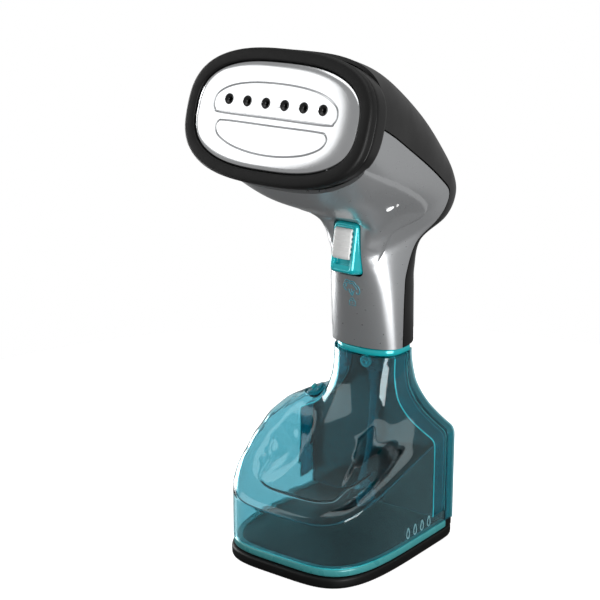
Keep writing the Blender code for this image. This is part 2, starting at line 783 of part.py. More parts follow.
def make_base():
    outline = footprint(base_half_width, base_front, base_back)
    base = add("base_plate", slab(outline, base_lift, base_height), "black", steamer)
    bevel(base, 1.0, 2, 60)
    pad_pocket = footprint(base_half_width - pad_inset, base_front - pad_inset, base_back - pad_inset)
    cut(base, "pad_pocket", slab(pad_pocket, -2, pad_thickness + gap), steamer)
    slack = pad_inset + gap
    pad_outline = footprint(base_half_width - slack, base_front - slack, base_back - slack)
    pad = add("base_pad", slab(pad_outline, 0, pad_thickness), "rubber", steamer)
    for k, x in enumerate((-34, 34)):
        place = (x, 12.5, 0)
        hole = turned([(0, -1), (3.4, -1), (3.4, 3.6), (1.9, 3.6), (1.9, 12), (0, 12)], "z", place, 12)
        cut(base, f"base_screw_hole_{k + 1}", hole, steamer)
        cut(pad, f"pad_screw_hole_{k + 1}", rod(3.4, -1, 5, "z", place, 12), steamer)
        profile = [(0, 2.2), (3.0, 2.2), (3.0, 3.3), (1.55, 3.3), (1.55, base_height - 0.4), (0, base_height - 0.4)]
        add(f"base_screw_{k + 1}", turned(profile, "z", place, 12), "steel", steamer)


def make_gland():
    start = panel_back
    profile = [
        (0, start - 2.6), (gland_radius, start - 2.6), (gland_radius, start + 0.3), (gland_radius + 2, start + 0.3),
        (gland_radius + 2, start + 2.0), (5.2, start + 2.6), (4.4, start + 11), (2.6, start + 11),
        (2.6, start + 3), (0, start + 3),
    ]
    add("cord_gland", turned(profile, "y", (0, 0, gland_height)), "rubber", steamer)


# ---- water tank -----------------------------------------------------------------------------------
def tank_row(width_share, front, z_front, z_back, squareness, inset=0.0, around=24):
    """One row round the tank, open at the back: heights rise from the nose to the back."""
    half_width = width_share * tank_half_width - inset
    start = tank_back - gap
    curve_start = -9.0 + 7.0 * (1 - width_share)
    front = front + inset
    row = [(half_width, start)]
    for k in range(around + 1):
        angle = pi * k / around
        x = half_width * signed_power(cos(angle), 2 / squareness)
        y = curve_start - (curve_start - front) * signed_power(sin(angle), 2 / squareness)
        row.append((x, y))
    row.append((-half_width, start))
    points = []
    for x, y in row:
        s = (y - front) / (start - front)
        z = z_front + (z_back - z_front) * (s + 0.5 * s * (1 - s))
        points.append((x, y, z))
    return points


def make_tank_bowl():
    floor_z = band_high + gap
    lower = [tank_row(1.0, -tank_front, z, z, 4.3) for z in (floor_z, floor_z + 10)]
    upper = [tank_row(*row) for row in smooth_rows(tank_rows, 1)]
    bm = loft(lower + upper, closed=False, capped=False)
    for face in bm.faces:
        face.normal_flip()
    bowl = add("tank_bowl", bm, "tank", steamer, 45)
    thicken(bowl, tank_wall)
    cut(bowl, "fill_hole", rod(fill_radius, -8, 8), fill_place)


def make_tank_back():
    inner = tank_wall + 2 * gap
    front = tank_back - 2.2
    outline = bell_outline(-inner, band_high + 2 * gap, 111.0)
    wall_plate = add("tank_back_wall", slab(outline, front, tank_back, "y"), "tank", steamer, 50)
    cut(wall_plate, "outlet_hole", rod(outlet_radius + 1.2, front - 2, tank_back + 2, "y", (0, 0, outlet_height)), steamer)
    spigot_profile = [
        (1.7, front - 5), (outlet_radius + 2.4, front - 5), (outlet_radius + 2.4, front - gap),
        (outlet_radius + 0.8, front - gap), (outlet_radius + 0.8, tank_back + 0.2), (outlet_radius - 0.6, tank_back + 0.2),
        (outlet_radius - 0.6, tank_back + 4.0), (1.7, tank_back + 4.0),
    ]
    spigot = add("tank_outlet", turned(spigot_profile, "y", (0, 0, outlet_height)), "nylon", steamer)
    elbow = rod(3.0, -9, -2.4, "z", (0, front - 3.6, outlet_height), 14)
    join(spigot, "outlet_elbow", elbow, steamer)
    seal = [
        (outlet_radius - 0.3, tank_back + 1.6), (outlet_radius + 0.1, tank_back + 1.6),
        (outlet_radius + 0.1, tank_back + 2.9), (outlet_radius - 0.3, tank_back + 2.9),
    ]
    add("outlet_seal", turned(seal, "y", (0, 0, outlet_height)), "rubber", steamer)
    end = outlet_height - 9 - gap
    tube = swept([(0, front - 3.6, end), (0, front - 3.8, 80), (0, front - 7, 50), (0, front - 12, 27)], 2.0)
    add("intake_tube", tube, "silicone", steamer)
    weight = [(0, 15.5), (5.0, 15.5), (6.0, 17), (6.0, 23.5), (3.4, 26.4), (0, 26.4)]
    add("intake_filter", turned(weight, "z", (0, front - 12, 0)), "nylon", steamer)


def make_tank_floor():
    band = tank_half_width + band_overhang
    rows = []
    for z, inset in ((band_low, 0.7), (band_low + 0.8, 0.0), (band_high - 1.0, 0.0), (band_high, 0.9)):
        outline = tank_floor_outline(band - inset, tank_front + band_overhang - inset)
        rows.append([(x, y, z) for x, y in outline])
    add("tank_floor", loft(rows), "teal", steamer)


def tank_floor_outline(half_width, front, around=24):
    middle = -9.0
    points = [(half_width, tank_back - gap)]
    for k in range(around + 1):
        angle = pi * k / around
        x = half_width * signed_power(cos(angle), 2 / 4.3)
        y = middle - (front + middle) * signed_power(sin(angle), 2 / 4.3)
        points.append((x, y))
    points.append((-half_width, tank_back - gap))
    return points


def make_tank_collar():
    """The bright collar that caps the tank's neck and lies flush with the grip."""
    low = 111.6 + gap
    high = tank_top - gap
    rows = []
    for z, inset in ((low, 0.8), (low + 0.8, 0.0), (high - 0.4, 0.0), (high, 0.4)):
        half_width = grip_half_width - inset
        outline = [(half_width, tank_back - gap)]
        for k in range(21):
            angle = pi * k / 20
            x = half_width * signed_power(cos(angle), 2 / 2.3)
            y = -2.0 - (15.4 - inset) * signed_power(sin(angle), 2 / 2.3)
            outline.append((x, y))
        outline.append((-half_width, tank_back - gap))
        rows.append([(x, y, z) for x, y in outline])
    add("tank_collar", loft(rows), "teal", steamer)


def make_fill_plug():
    profile = [
        (0, -1.6), (fill_radius - gap, -1.6), (fill_radius - gap, 1.9), (fill_radius + 2.2, 2.6),
        (fill_radius + 2.2, 3.4), (fill_radius + 1.2, 4.0), (2.4, 4.0), (2.4, 5.6), (0, 5.6),
    ]
    add("fill_plug", turned(profile, "z"), "rubber", fill_place)


# ---- small controls -------------------------------------------------------------------------------
def make_lens():
    profile = [(0, -4.0), (lens_radius, -4.0), (lens_radius, 0.1), (lens_radius * 0.7, 0.6), (0, 0.8)]
    add("ready_light_lens", turned(profile), "nylon", lens_place)


def make_release_button():
    outline = rounded(button_half_width, button_half_height, 3.6, (0, button_height))
    flange = rounded(button_half_width + 1.6, button_half_height + 1.6, 3.6, (0, button_height))
    rows = [[(a, y, b) for a, b in outline] for y in (15.6, 20.4)]
    button = add("release_button", loft(rows), "grey", steamer)
    bevel(button, 0.6, 1, 60)
    join(button, "button_flange", slab(flange, 14.0, 15.8, "y"), steamer)


make_steam_plate()
make_head_rings()
make_head_electrics(make_boiler())
make_shells()
make_trigger()
make_lock()
make_trigger_works()
make_pump()
make_board()
make_back_panel()
make_base()
make_gland()
make_tank_bowl()
make_tank_back()
make_tank_floor()
make_tank_collar()
make_fill_plug()
make_lens()
make_release_button()
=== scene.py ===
from math import asin, atan2, cos, pi, radians, sin

import bmesh
import bpy
from mathutils import Matrix, Vector
from mathutils.bvhtree import BVHTree
from mathutils.kdtree import KDTree


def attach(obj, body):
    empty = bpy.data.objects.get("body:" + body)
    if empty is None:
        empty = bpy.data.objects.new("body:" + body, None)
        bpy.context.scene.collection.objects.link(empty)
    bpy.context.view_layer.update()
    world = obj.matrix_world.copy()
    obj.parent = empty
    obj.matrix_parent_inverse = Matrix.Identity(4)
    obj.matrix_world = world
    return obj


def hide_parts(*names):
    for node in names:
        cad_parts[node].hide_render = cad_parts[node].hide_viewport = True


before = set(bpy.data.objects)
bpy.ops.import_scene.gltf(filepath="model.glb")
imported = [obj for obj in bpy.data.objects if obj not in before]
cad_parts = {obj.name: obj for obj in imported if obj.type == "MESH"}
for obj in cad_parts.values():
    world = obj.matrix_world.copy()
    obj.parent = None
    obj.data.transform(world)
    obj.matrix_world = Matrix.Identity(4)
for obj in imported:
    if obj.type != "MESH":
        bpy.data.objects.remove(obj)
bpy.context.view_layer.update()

# A hand-held garment steamer. Sizes are in millimetres. Handle coordinates have Y = 0 on the axis
# of the grip, which stands 23.3 mm behind the middle of the steamer.
mm = 0.001
handleBack = 23.3
plateCentre, plateLean = (-95.2, 260.9), -18.7
triggerPin, triggerLean = (-22.0, 188.5), -10.5


def leaning(y, z, degrees):
    return Matrix.Translation((0, handleBack + y, z)) @ Matrix.Rotation(radians(degrees), 4, "X")


handlePlace = leaning(0.0, 0.0, 0.0)
headPlace = leaning(*plateCentre, plateLean)
triggerPlace = leaning(*triggerPin, triggerLean)
towardsY = Matrix.Rotation(radians(-90), 4, "X")


def inFrame(point):
    # from handle coordinates to the frame's own, both in millimetres
    return (point[0], point[1] + handleBack, point[2])


def toLinear(hexColour):
    values = [int(hexColour[k:k + 2], 16) / 255 for k in (1, 3, 5)]
    return tuple(v / 12.92 if v <= 0.04045 else ((v + 0.055) / 1.055) ** 2.4 for v in values) + (1.0,)


def addNode(finish, kind, values=None, links=None, **settings):
    node = finish.node_tree.nodes.new(kind)
    for key, value in settings.items():
        setattr(node, key, value)
    for key, value in (values or {}).items():
        node.inputs[key].default_value = value
    for key, source in (links or {}).items():
        finish.node_tree.links.new(source, node.inputs[key])
    return node


# each finish is named for what the real part is made of and how it was made, and, where it carries painted
# light, for that too
finishSettings = {
    # cast aluminium, machined and polished: mirror-like with a trace of polishing haze
    "polishedAluminium": dict(colour="#e4e5e6", second="#dadcde", grain=6.0, metallic=1.0,
                              roughness=0.17, roughnessSpread=0.05, bump=0.0008, bumpGrain=9.0),
    # glass-filled nylon, fine spark texture: matt black that lifts to grey at the edges
    "mattNylonBlack": dict(colour="#0d0d0d", second="#131313", grain=1.2, roughness=0.5,
                           roughnessSpread=0.1, bump=0.02, bumpGrain=0.45, specular=0.22),
    # ABS moulded in a polished tool: deep black with a soft gloss
    "satinAbsBlack": dict(colour="#0a0a0a", second="#101010", grain=3.0, roughness=0.34,
                          roughnessSpread=0.08, bump=0.006, bumpGrain=0.7, specular=0.25, coat=0.08,
                           coatRoughness=0.2),
    # ABS under silver spray paint: aluminium flake under a satin clear coat
    "silverPaint": dict(colour="#a6a8aa", second="#b3b5b7", grain=0.5, metallic=0.7, roughness=0.3,
                        roughnessSpread=0.06, bump=0.004, bumpGrain=0.5, coat=0.25, coatRoughness=0.25),
    # the table-side shell: ABS with a moulded matt texture
    "mattAbsBlack": dict(colour="#0c0c0c", second="#131313", grain=1.5, roughness=0.46,
                         roughnessSpread=0.1, bump=0.012, bumpGrain=0.6, specular=0.22),
    # thermoplastic rubber: dull, slightly dusty black
    "softRubber": dict(colour="#151516", second="#1c1c1d", grain=1.0, roughness=0.82,
                       roughnessSpread=0.08, bump=0.03, bumpGrain=0.4),
    # tinted polycarbonate, highly polished: colour that flares bright where the light strikes
    "tealPolycarbonate": dict(colour="#12a7ae", second="#1cb4bb", grain=4.0, metallic=0.35, roughness=0.17,
                              roughnessSpread=0.04, bump=0.003, bumpGrain=1.5, coat=0.8, coatRoughness=0.06,
                             glow="#16b4bc", glowStrength=0.1),
    # the same plastic, paler and glowing: painted highlights along its edges
    "tealPaintedEdgeHighlight": dict(colour="#3fdbe2", second="#63ecf2", grain=3.0, metallic=0.2, roughness=0.16,
                         roughnessSpread=0.03, bump=0.002, bumpGrain=1.5, coat=0.7, coatRoughness=0.08,
                         glow="#35cfd8", glowStrength=0.22),
    "tealBand": dict(colour="#3f9497", second="#4ba3a5", grain=4.0, metallic=0.1, roughness=0.28,
                     roughnessSpread=0.05, bump=0.003, bumpGrain=1.2, coat=0.4, coatRoughness=0.15),
    # the frosted outer edge of the clear rim
    "tealFrost": dict(colour="#4f8791", second="#5b939c", grain=3.0, metallic=0.1, roughness=0.35,
                      roughnessSpread=0.05, bump=0.003, bumpGrain=1.2, coat=0.3, coatRoughness=0.2),
    # natural nylon, moulded: pale grey with a faint bloom
    "paleNylon": dict(colour="#d2d2d1", second="#dcdcdb", grain=2.0, roughness=0.42,
                      roughnessSpread=0.08, bump=0.008, bumpGrain=0.6),
    "dieCastAluminium": dict(colour="#9a9b9c", second="#868788", grain=1.6, metallic=0.9, roughness=0.5,
                             roughnessSpread=0.12, bump=0.03, bumpGrain=0.5),
    "brightSteel": dict(colour="#b9bbbe", second="#c7c9cc", grain=2.0, metallic=1.0, roughness=0.28,
                        roughnessSpread=0.08, bump=0.004, bumpGrain=0.6),
    "enamelledCopper": dict(colour="#9a4f24", second="#b05f2d", grain=0.9, metallic=0.85, roughness=0.38,
                            roughnessSpread=0.1, bump=0.05, bumpGrain=0.5),
    "circuitBoardGreen": dict(colour="#0f4a26", second="#16592f", grain=3.0, roughness=0.4,
                              roughnessSpread=0.1, bump=0.01, bumpGrain=0.8),
    "silicone": dict(colour="#8fa5a6", second="#9fb4b5", grain=3.0, roughness=0.5,
                     roughnessSpread=0.06, bump=0.004, bumpGrain=1.0),
    "printedTeal": dict(colour="#2f7f8c", second="#38899a", grain=2.0, roughness=0.4,
                        roughnessSpread=0.05, bump=0.002, bumpGrain=0.5),
    # cyan print, with a painted glow on top of the ink
    "printedCyanPaintedGlow": dict(colour="#22a9ba", second="#2cb6c6", grain=2.0, roughness=0.35,
                        roughnessSpread=0.05, bump=0.002, bumpGrain=0.5, glow="#22a9ba", glowStrength=0.15),
    "printedGrey": dict(colour="#d3d8d9", second="#dde1e2", grain=2.0, roughness=0.4,
                        roughnessSpread=0.05, bump=0.002, bumpGrain=0.5),
    # a white lens that glows though nothing lights it: a painted highlight in the shape of a drop
    "lensPaintedHighlight": dict(colour="#f4f6f6", second="#ffffff", grain=2.0, roughness=0.12,
                      roughnessSpread=0.02, bump=0.001, bumpGrain=1.0, glow="#ffffff", glowStrength=0.45),
    # near black, put into the plate's holes as painted shade
    "paintedShadeBlack": dict(colour="#050505", second="#0a0a0a", grain=1.0, roughness=0.3,
                       roughnessSpread=0.08, bump=0.004, bumpGrain=0.6),
}


def makeFinish(name, colour, second, grain, roughness, roughnessSpread, bump, bumpGrain, metallic=0.0,
               coat=0.0, coatRoughness=0.1, specular=0.5, glow=None, glowStrength=0.0):
    finish = bpy.data.materials.new(name)
    finish.use_nodes = True
    shader = finish.node_tree.nodes["Principled BSDF"]
    place = addNode(finish, "ShaderNodeTexCoord").outputs["Object"]
    # a grain in millimetres becomes cycles per metre
    mottle = addNode(finish, "ShaderNodeTexNoise", {"Scale": 1 / (grain * mm), "Detail": 3.0},
                     {"Vector": place})
    tint = addNode(finish, "ShaderNodeMix", {6: toLinear(colour), 7: toLinear(second)},
                   {0: mottle.outputs["Fac"]}, data_type="RGBA")
    haze = addNode(finish, "ShaderNodeTexNoise", {"Scale": 1 / (4 * grain * mm), "Detail": 2.0},
                   {"Vector": place})
    sheen = addNode(finish, "ShaderNodeMapRange",
                    {"To Min": roughness - roughnessSpread, "To Max": roughness + roughnessSpread},
                    {"Value": haze.outputs["Fac"]})
    pits = addNode(finish, "ShaderNodeTexNoise", {"Scale": 1 / (bumpGrain * mm), "Detail": 2.0},
                   {"Vector": place})
    relief = addNode(finish, "ShaderNodeBump", {"Strength": 0.5, "Distance": bump * mm},
                     {"Height": pits.outputs["Fac"]})
    shader.inputs["Metallic"].default_value = metallic
    shader.inputs["Specular IOR Level"].default_value = specular
    shader.inputs["Coat Weight"].default_value = coat
    shader.inputs["Coat Roughness"].default_value = coatRoughness
    # the emission is painted glow: none of these parts is a lamp
    if glow:
        shader.inputs["Emission Color"].default_value = toLinear(glow)
        shader.inputs["Emission Strength"].default_value = glowStrength
    links = finish.node_tree.links
    links.new(tint.outputs[2], shader.inputs["Base Color"])
    links.new(sheen.outputs["Result"], shader.inputs["Roughness"])
    links.new(relief.outputs["Normal"], shader.inputs["Normal"])
    return finish


finishes = {name: makeFinish(name, **settings) for name, settings in finishSettings.items()}


# copolyester, injection moulded and tinted in the mass: clear, glossy, dark where two walls cross
clearSettings = {
    "tealClearTank": dict(colour="#8fc6d0", second="#97ccd6", roughness=0.03, grain=40.0, ripple=0.02,
                          milky=0.0),
    "tealClearRim": dict(colour="#2a95a6", second="#36a3b2", roughness=0.06, grain=25.0, ripple=0.02,
                         milky=0.3),
}


def makeClearPlastic(name, colour, second, roughness, grain, ripple, milky):
    finish = bpy.data.materials.new(name)
    finish.use_nodes = True
    shader = finish.node_tree.nodes["Principled BSDF"]
    place = addNode(finish, "ShaderNodeTexCoord").outputs["Object"]
    flow = addNode(finish, "ShaderNodeTexNoise", {"Scale": 1 / (grain * mm), "Detail": 1.0},
                   {"Vector": place})
    tint = addNode(finish, "ShaderNodeMix", {6: toLinear(colour), 7: toLinear(second)},
                   {0: flow.outputs["Fac"]}, data_type="RGBA")
    sheen = addNode(finish, "ShaderNodeMapRange", {"To Min": roughness, "To Max": roughness + 0.03},
                    {"Value": flow.outputs["Fac"]})
    relief = addNode(finish, "ShaderNodeBump", {"Strength": 0.4, "Distance": ripple * mm},
                     {"Height": flow.outputs["Fac"]})
    shader.inputs["Transmission Weight"].default_value = 1.0 - milky
    shader.inputs["IOR"].default_value = 1.5
    links = finish.node_tree.links
    links.new(tint.outputs[2], shader.inputs["Base Color"])
    links.new(sheen.outputs["Result"], shader.inputs["Roughness"])
    links.new(relief.outputs["Normal"], shader.inputs["Normal"])
    return finish


for clearName, settings in clearSettings.items():
    finishes[clearName] = makeClearPlastic(clearName, **settings)


def signedPower(value, exponent):
    return abs(value) ** exponent * (1 if value >= 0 else -1)


def easeStep(value, low, high):
    share = min(1.0, max(0.0, (value - low) / (high - low)))
    return share * share * (3 - 2 * share)


def rowAt(rows, t):
    k = max(0, min(int(t), len(rows) - 2))
    f = t - k
    b, c = rows[k], rows[k + 1]
    a = rows[k - 1] if k > 0 else [2 * p - q for p, q in zip(b, c)]
    d = rows[k + 2] if k + 2 < len(rows) else [2 * q - p for p, q in zip(b, c)]
    return [
        0.5 * (2 * q + (r - p) * f + (2 * p - 5 * q + 4 * r - s) * f * f + (3 * q - p - 3 * r + s) * f ** 3)
        for p, q, r, s in zip(a, b, c, d)
    ]


def shapeGrid(columns, rows, place):
    skin = bmesh.new()
    bmesh.ops.create_grid(skin, x_segments=columns, y_segments=rows, size=0.5)
    for point in skin.verts:
        point.co = Vector(place(point.co.x + 0.5, point.co.y + 0.5))
    return skin


def closeSkin(skin):
    bmesh.ops.remove_doubles(skin, verts=skin.verts, dist=1e-4)
    bmesh.ops.recalc_face_normals(skin, faces=skin.faces)
    return skin


def faceAway(skin, inside):
    middle = Vector(inside)
    if sum(face.normal.dot(face.calc_center_median() - middle) * face.calc_area() for face in skin.faces) < 0:
        bmesh.ops.reverse_faces(skin, faces=skin.faces)


def hoop(outline, profile, around=120):
    count = len(profile)

    def place(u, v):
        return outline(u, *profile[round(v * count) % count])

    return closeSkin(shapeGrid(around, count, place))


def roundedBox(width, depth, height, centre, radius, segments=4):
    solid = bmesh.new()
    bmesh.ops.create_cube(solid, size=1.0)
    bmesh.ops.scale(solid, vec=(width, depth, height), verts=solid.verts)
    bmesh.ops.bevel(solid, geom=solid.edges[:], offset=radius, offset_type="OFFSET", segments=segments,
                    profile=0.5, affect="EDGES", material=-1)
    bmesh.ops.translate(solid, vec=centre, verts=solid.verts)
    return solid


def turned(profile, sides=48):
    skin = bmesh.new()
    points = [skin.verts.new((radius, 0, height)) for radius, height in profile]
    edges = [skin.edges.new(pair) for pair in zip(points, points[1:])]
    bmesh.ops.spin(skin, geom=points + edges, axis=(0, 0, 1), cent=(0, 0, 0), steps=sides, angle=2 * pi,
                   use_merge=True)
    return closeSkin(skin)


def makePiece(name, skin, finish, place=handlePlace, smooth=40.0):
    bmesh.ops.transform(skin, matrix=Matrix.Scale(mm, 4) @ place, verts=skin.verts)
    mesh = bpy.data.meshes.new(name)
    skin.to_mesh(mesh)
    skin.free()
    mesh.shade_smooth()
    mesh.set_sharp_from_angle(angle=radians(smooth))
    mesh.materials.append(finishes[finish])
    piece = bpy.data.objects.new(name, mesh)
    bpy.context.scene.collection.objects.link(piece)
    return piece


def giveWall(piece, thickness):
    wall = piece.modifiers.new("wall", "SOLIDIFY")
    wall.thickness = thickness * mm
    wall.offset = -1.0
    wall.use_even_offset = True


def softenEdges(piece, width, segments=3, angle=40.0):
    rounding = piece.modifiers.new("softEdges", "BEVEL")
    rounding.width = width * mm
    rounding.segments = segments
    rounding.limit_method = "ANGLE"
    rounding.angle_limit = radians(angle)
    rounding.harden_normals = False


def settleModifiers(piece, smooth):
    bpy.context.view_layer.update()
    graph = bpy.context.evaluated_depsgraph_get()
    mesh = bpy.data.meshes.new_from_object(piece.evaluated_get(graph))
    old = piece.data
    piece.modifiers.clear()
    piece.data = mesh
    mesh.name = piece.name
    mesh.shade_smooth()
    mesh.set_sharp_from_angle(angle=radians(smooth))
    bpy.data.meshes.remove(old)


def cutAway(piece, skins, place=handlePlace, smooth=40.0):
    tools = []
    for skin in skins:
        bmesh.ops.transform(skin, matrix=Matrix.Scale(mm, 4) @ place, verts=skin.verts)
        mesh = bpy.data.meshes.new("tool")
        skin.to_mesh(mesh)
        skin.free()
        tool = bpy.data.objects.new("tool", mesh)
        bpy.context.scene.collection.objects.link(tool)
        step = piece.modifiers.new("cut", "BOOLEAN")
        step.solver = "MANIFOLD"
        step.operation = "DIFFERENCE"
        step.object = tool
        tools.append(tool)
    settleModifiers(piece, smooth)
    for tool in tools:
        mesh = tool.data
        bpy.data.objects.remove(tool, do_unlink=True)
        bpy.data.meshes.remove(mesh)


def fit(piece, body, slotName, *nodes):
    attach(piece, body)
    if nodes:
        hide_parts(*nodes)
    return piece


def ringLoft(outline, profile, around=96):
    skin = bmesh.new()
    loops = []
    for row in profile:
        ring = bmesh.ops.create_circle(skin, cap_ends=False, segments=around, radius=1.0)["verts"]
        edges = list({edge for point in ring for edge in point.link_edges})
        for point in ring:
            turn = atan2(point.co.y, point.co.x) / (2 * pi) % 1.0
            point.co = Vector(outline(turn, *row))
        loops.append(edges)
    for low, high in zip(loops, loops[1:]):
        bmesh.ops.bridge_loops(skin, edges=low + high)
    for edges in (loops[0], loops[-1]):
        bmesh.ops.edgeloop_fill(skin, edges=edges)
    bmesh.ops.recalc_face_normals(skin, faces=skin.faces)
    return skin


def fillEnds(skin):
    openEdges = [edge for edge in skin.edges if edge.is_boundary]
    bmesh.ops.holes_fill(skin, edges=openEdges, sides=0)
    bmesh.ops.recalc_face_normals(skin, faces=skin.faces)
    return skin


def closedRowAt(points, u):
    count = len(points)
    t = (u % 1.0) * count
    k, f = int(t) % count, t - int(t)
    a, b, c, d = (points[(k + j) % count] for j in (-1, 0, 1, 2))
    return [
        0.5 * (2 * q + (r - p) * f + (2 * p - 5 * q + 4 * r - s) * f * f + (3 * q - p - 3 * r + s) * f ** 3)
        for p, q, r, s in zip(a, b, c, d)
    ]


def roundedRect(turn, halfWidth, halfHeight, radius):
    # quarter by quarter: the corner arcs take the turns and the sides join them
    quarter = int(turn * 4) % 4
    share = turn * 4 - int(turn * 4)
    angle = pi / 2 * (quarter + share)
    signX, signY = ((1, 1), (-1, 1), (-1, -1), (1, -1))[quarter]
    return (signX * (halfWidth - radius) + radius * cos(angle),
            signY * (halfHeight - radius) + radius * sin(angle))


def makeTube(name, strokes, radius, finish):
    curve = bpy.data.curves.new(name, "CURVE")
    curve.dimensions = "3D"
    curve.bevel_depth = radius * mm
    curve.bevel_resolution = 3
    curve.use_fill_caps = True  # both ends closed
    for stroke in strokes:
        spline = curve.splines.new("POLY")
        spline.points.add(len(stroke) - 1)
        for point, place in zip(spline.points, stroke):
            point.co = (*(Vector(inFrame(place)) * mm), 1.0)
    tube = bpy.data.objects.new(name, curve)
    bpy.context.scene.collection.objects.link(tube)
    bpy.context.view_layer.update()
    mesh = bpy.data.meshes.new_from_object(tube.evaluated_get(bpy.context.evaluated_depsgraph_get()))
    bpy.data.objects.remove(tube, do_unlink=True)
    bpy.data.curves.remove(curve)
    mesh.name = name
    mesh.shade_smooth()
    mesh.materials.clear()
    mesh.materials.append(finishes[finish])
    piece = bpy.data.objects.new(name, mesh)
    bpy.context.scene.collection.objects.link(piece)
    return piece


# steam plate and its black rings, in head coordinates: X across, Y back, Z up the plate
plateSettings = dict(
    halfWidth=52.5, halfHeight=28.7, squareness=2.7,
    # (share of the outline, depth): flat in the middle, then rolled over at the rim
    rim=[(0.80, 0.0), (0.85, 0.05), (0.90, 0.2), (0.94, 0.45), (0.97, 0.85), (0.99, 1.35), (1.0, 2.0),
         (1.0, 3.0)],
    upperGroove=[(-34, -1.3), (0, -1.3), (34, -1.3), (38.6, 0.2), (40, 4.2), (38, 9.0), (30, 13.5),
                 (17, 16.2), (0, 17), (-17, 16.2), (-30, 13.5), (-38, 9.0), (-40, 4.2), (-38.6, 0.2)],
    lowerGroove=[(-30, -5.1), (0, -5.1), (30, -5.1), (34.9, -6.2), (36, -9.3), (33, -13.6), (24, -17.6),
                 (12, -19.9), (0, -20.6), (-12, -19.9), (-24, -17.6), (-33, -13.6), (-36, -9.3),
                 (-34.9, -6.2)],
    # across and into the plate
    grooveShape=[(-0.6, -0.6), (0.6, -0.6), (0.55, 0.1), (0.35, 0.5), (0.0, 0.65), (-0.35, 0.5),
                 (-0.55, 0.1)],
    holes=6, pitch=12.2, holeRise=6.2, sinkRadius=3.0, holeRadius=1.5,
    # the black nozzle in each countersink, painted shade for the dark inside the hole: (radius, depth)
    nozzle=[(0, 2.6), (0.7, 2.6), (0.8, 1.5), (1.25, 1.0), (2.1, 0.42), (2.75, 0.12), (2.95, 0.14),
            (2.7, 0.5), (1.45, 1.75), (1.4, 2.9), (0, 2.9)],
)


def headOutline(turn, extra, depth, rise=0.0):
    power = 2 / plateSettings["squareness"]
    angle = 2 * pi * turn
    return ((plateSettings["halfWidth"] + extra) * signedPower(cos(angle), power), depth,
            (plateSettings["halfHeight"] + extra) * signedPower(sin(angle), power) + rise)


def plateOutline(turn, share, depth):
    x, y, z = headOutline(turn, 0.0, depth)
    return (x * share, y, z * share)


def grooveTool(points):
    def place(turn, across, depth):
        here = Vector(closedRowAt(points, turn))
        ahead = Vector(closedRowAt(points, turn + 0.002)) - here
        out = Vector((ahead.y, -ahead.x)).normalized() * across
        return (here.x + out.x, depth, here.y + out.y)
    return hoop(place, plateSettings["grooveShape"], 160)


def holePlaces():
    s = plateSettings
    return [s["pitch"] * (k - (s["holes"] - 1) / 2) for k in range(s["holes"])]


def alongHead(x, rise):
    # a turned piece stands along Z; the plate's holes run along the head's Y
    return headPlace @ Matrix.Translation((x, 0, rise)) @ towardsY


def makeSteamPlate():
    s = plateSettings
    plate = makePiece("steamPlate", ringLoft(plateOutline, s["rim"], 192), "polishedAluminium", headPlace)
    tools = [grooveTool(s["upperGroove"]), grooveTool(s["lowerGroove"])]
    for x in holePlaces():
        tool = turned([(0, -1.0), (s["sinkRadius"] + 1.0, -1.0), (s["sinkRadius"], 0.0),
                       (s["holeRadius"], 1.5), (s["holeRadius"], 4.0), (0, 4.0)], 40)
        bmesh.ops.transform(tool, matrix=headPlace.inverted() @ alongHead(x, s["holeRise"]), verts=tool.verts)
        tools.append(tool)
    cutAway(plate, tools, headPlace, 30.0)
    softenEdges(plate, 0.14, 2, 30.0)
    fit(plate, "handset", "plate_metal", "steam_plate")
    for k, x in enumerate(holePlaces()):
        place = alongHead(x, s["holeRise"])
        nozzle = makePiece(f"holeShadeNozzle_{k + 1}", turned(s["nozzle"], 40), "paintedShadeBlack", place)
        fit(nozzle, "handset", "head_black")


ringSettings = dict(
    # (outward, depth) round each ring
    bezel=[(0.35, 6.2), (0.35, 1.2), (0.6, 0.75), (1.1, 0.6), (5.2, 0.6), (6.0, 0.85), (6.6, 1.4),
           (6.95, 2.3), (7.0, 3.2), (7.0, 5.8), (6.8, 6.2)],
    collar=[(0.5, 6.55), (6.1, 6.55), (6.45, 6.7), (6.6, 7.1), (6.35, 9.5), (5.9, 12.8), (5.5, 15.6),
            (5.28, 17.2), (5.05, 17.7), (4.6, 17.85), (0.5, 17.85)],
    # the collar climbs towards its back, and its lower half is drawn in a little
    collarRise=1.4, outerFrom=3.0, partingRise=-16.9, partingFall=0.11, partingStep=0.45, partingEdge=0.4,
)


def makeHeadRings():
    s = ringSettings
    bezel = makePiece("plateBezel", hoop(headOutline, s["bezel"], 192), "mattNylonBlack", headPlace, 50)
    fit(bezel, "handset", "head_black", "plate_bezel")
    first, last = s["collar"][0][1], s["collar"][-1][1]

    def place(turn, outward, depth):
        if outward <= s["outerFrom"]:
            return headOutline(turn, outward, depth)
        rise = s["collarRise"] * (depth - first) / (last - first)
        z = headOutline(turn, outward, depth, rise)[2]
        parting = s["partingRise"] - s["partingFall"] * (depth - first)
        drop = s["partingStep"] * easeStep(parting - z, -s["partingEdge"], s["partingEdge"])
        return headOutline(turn, outward - drop, depth, rise)

    collar = makePiece("headCollar", hoop(place, s["collar"], 320), "satinAbsBlack", headPlace, 50)
    fit(collar, "handset", "head_black", "head_collar")


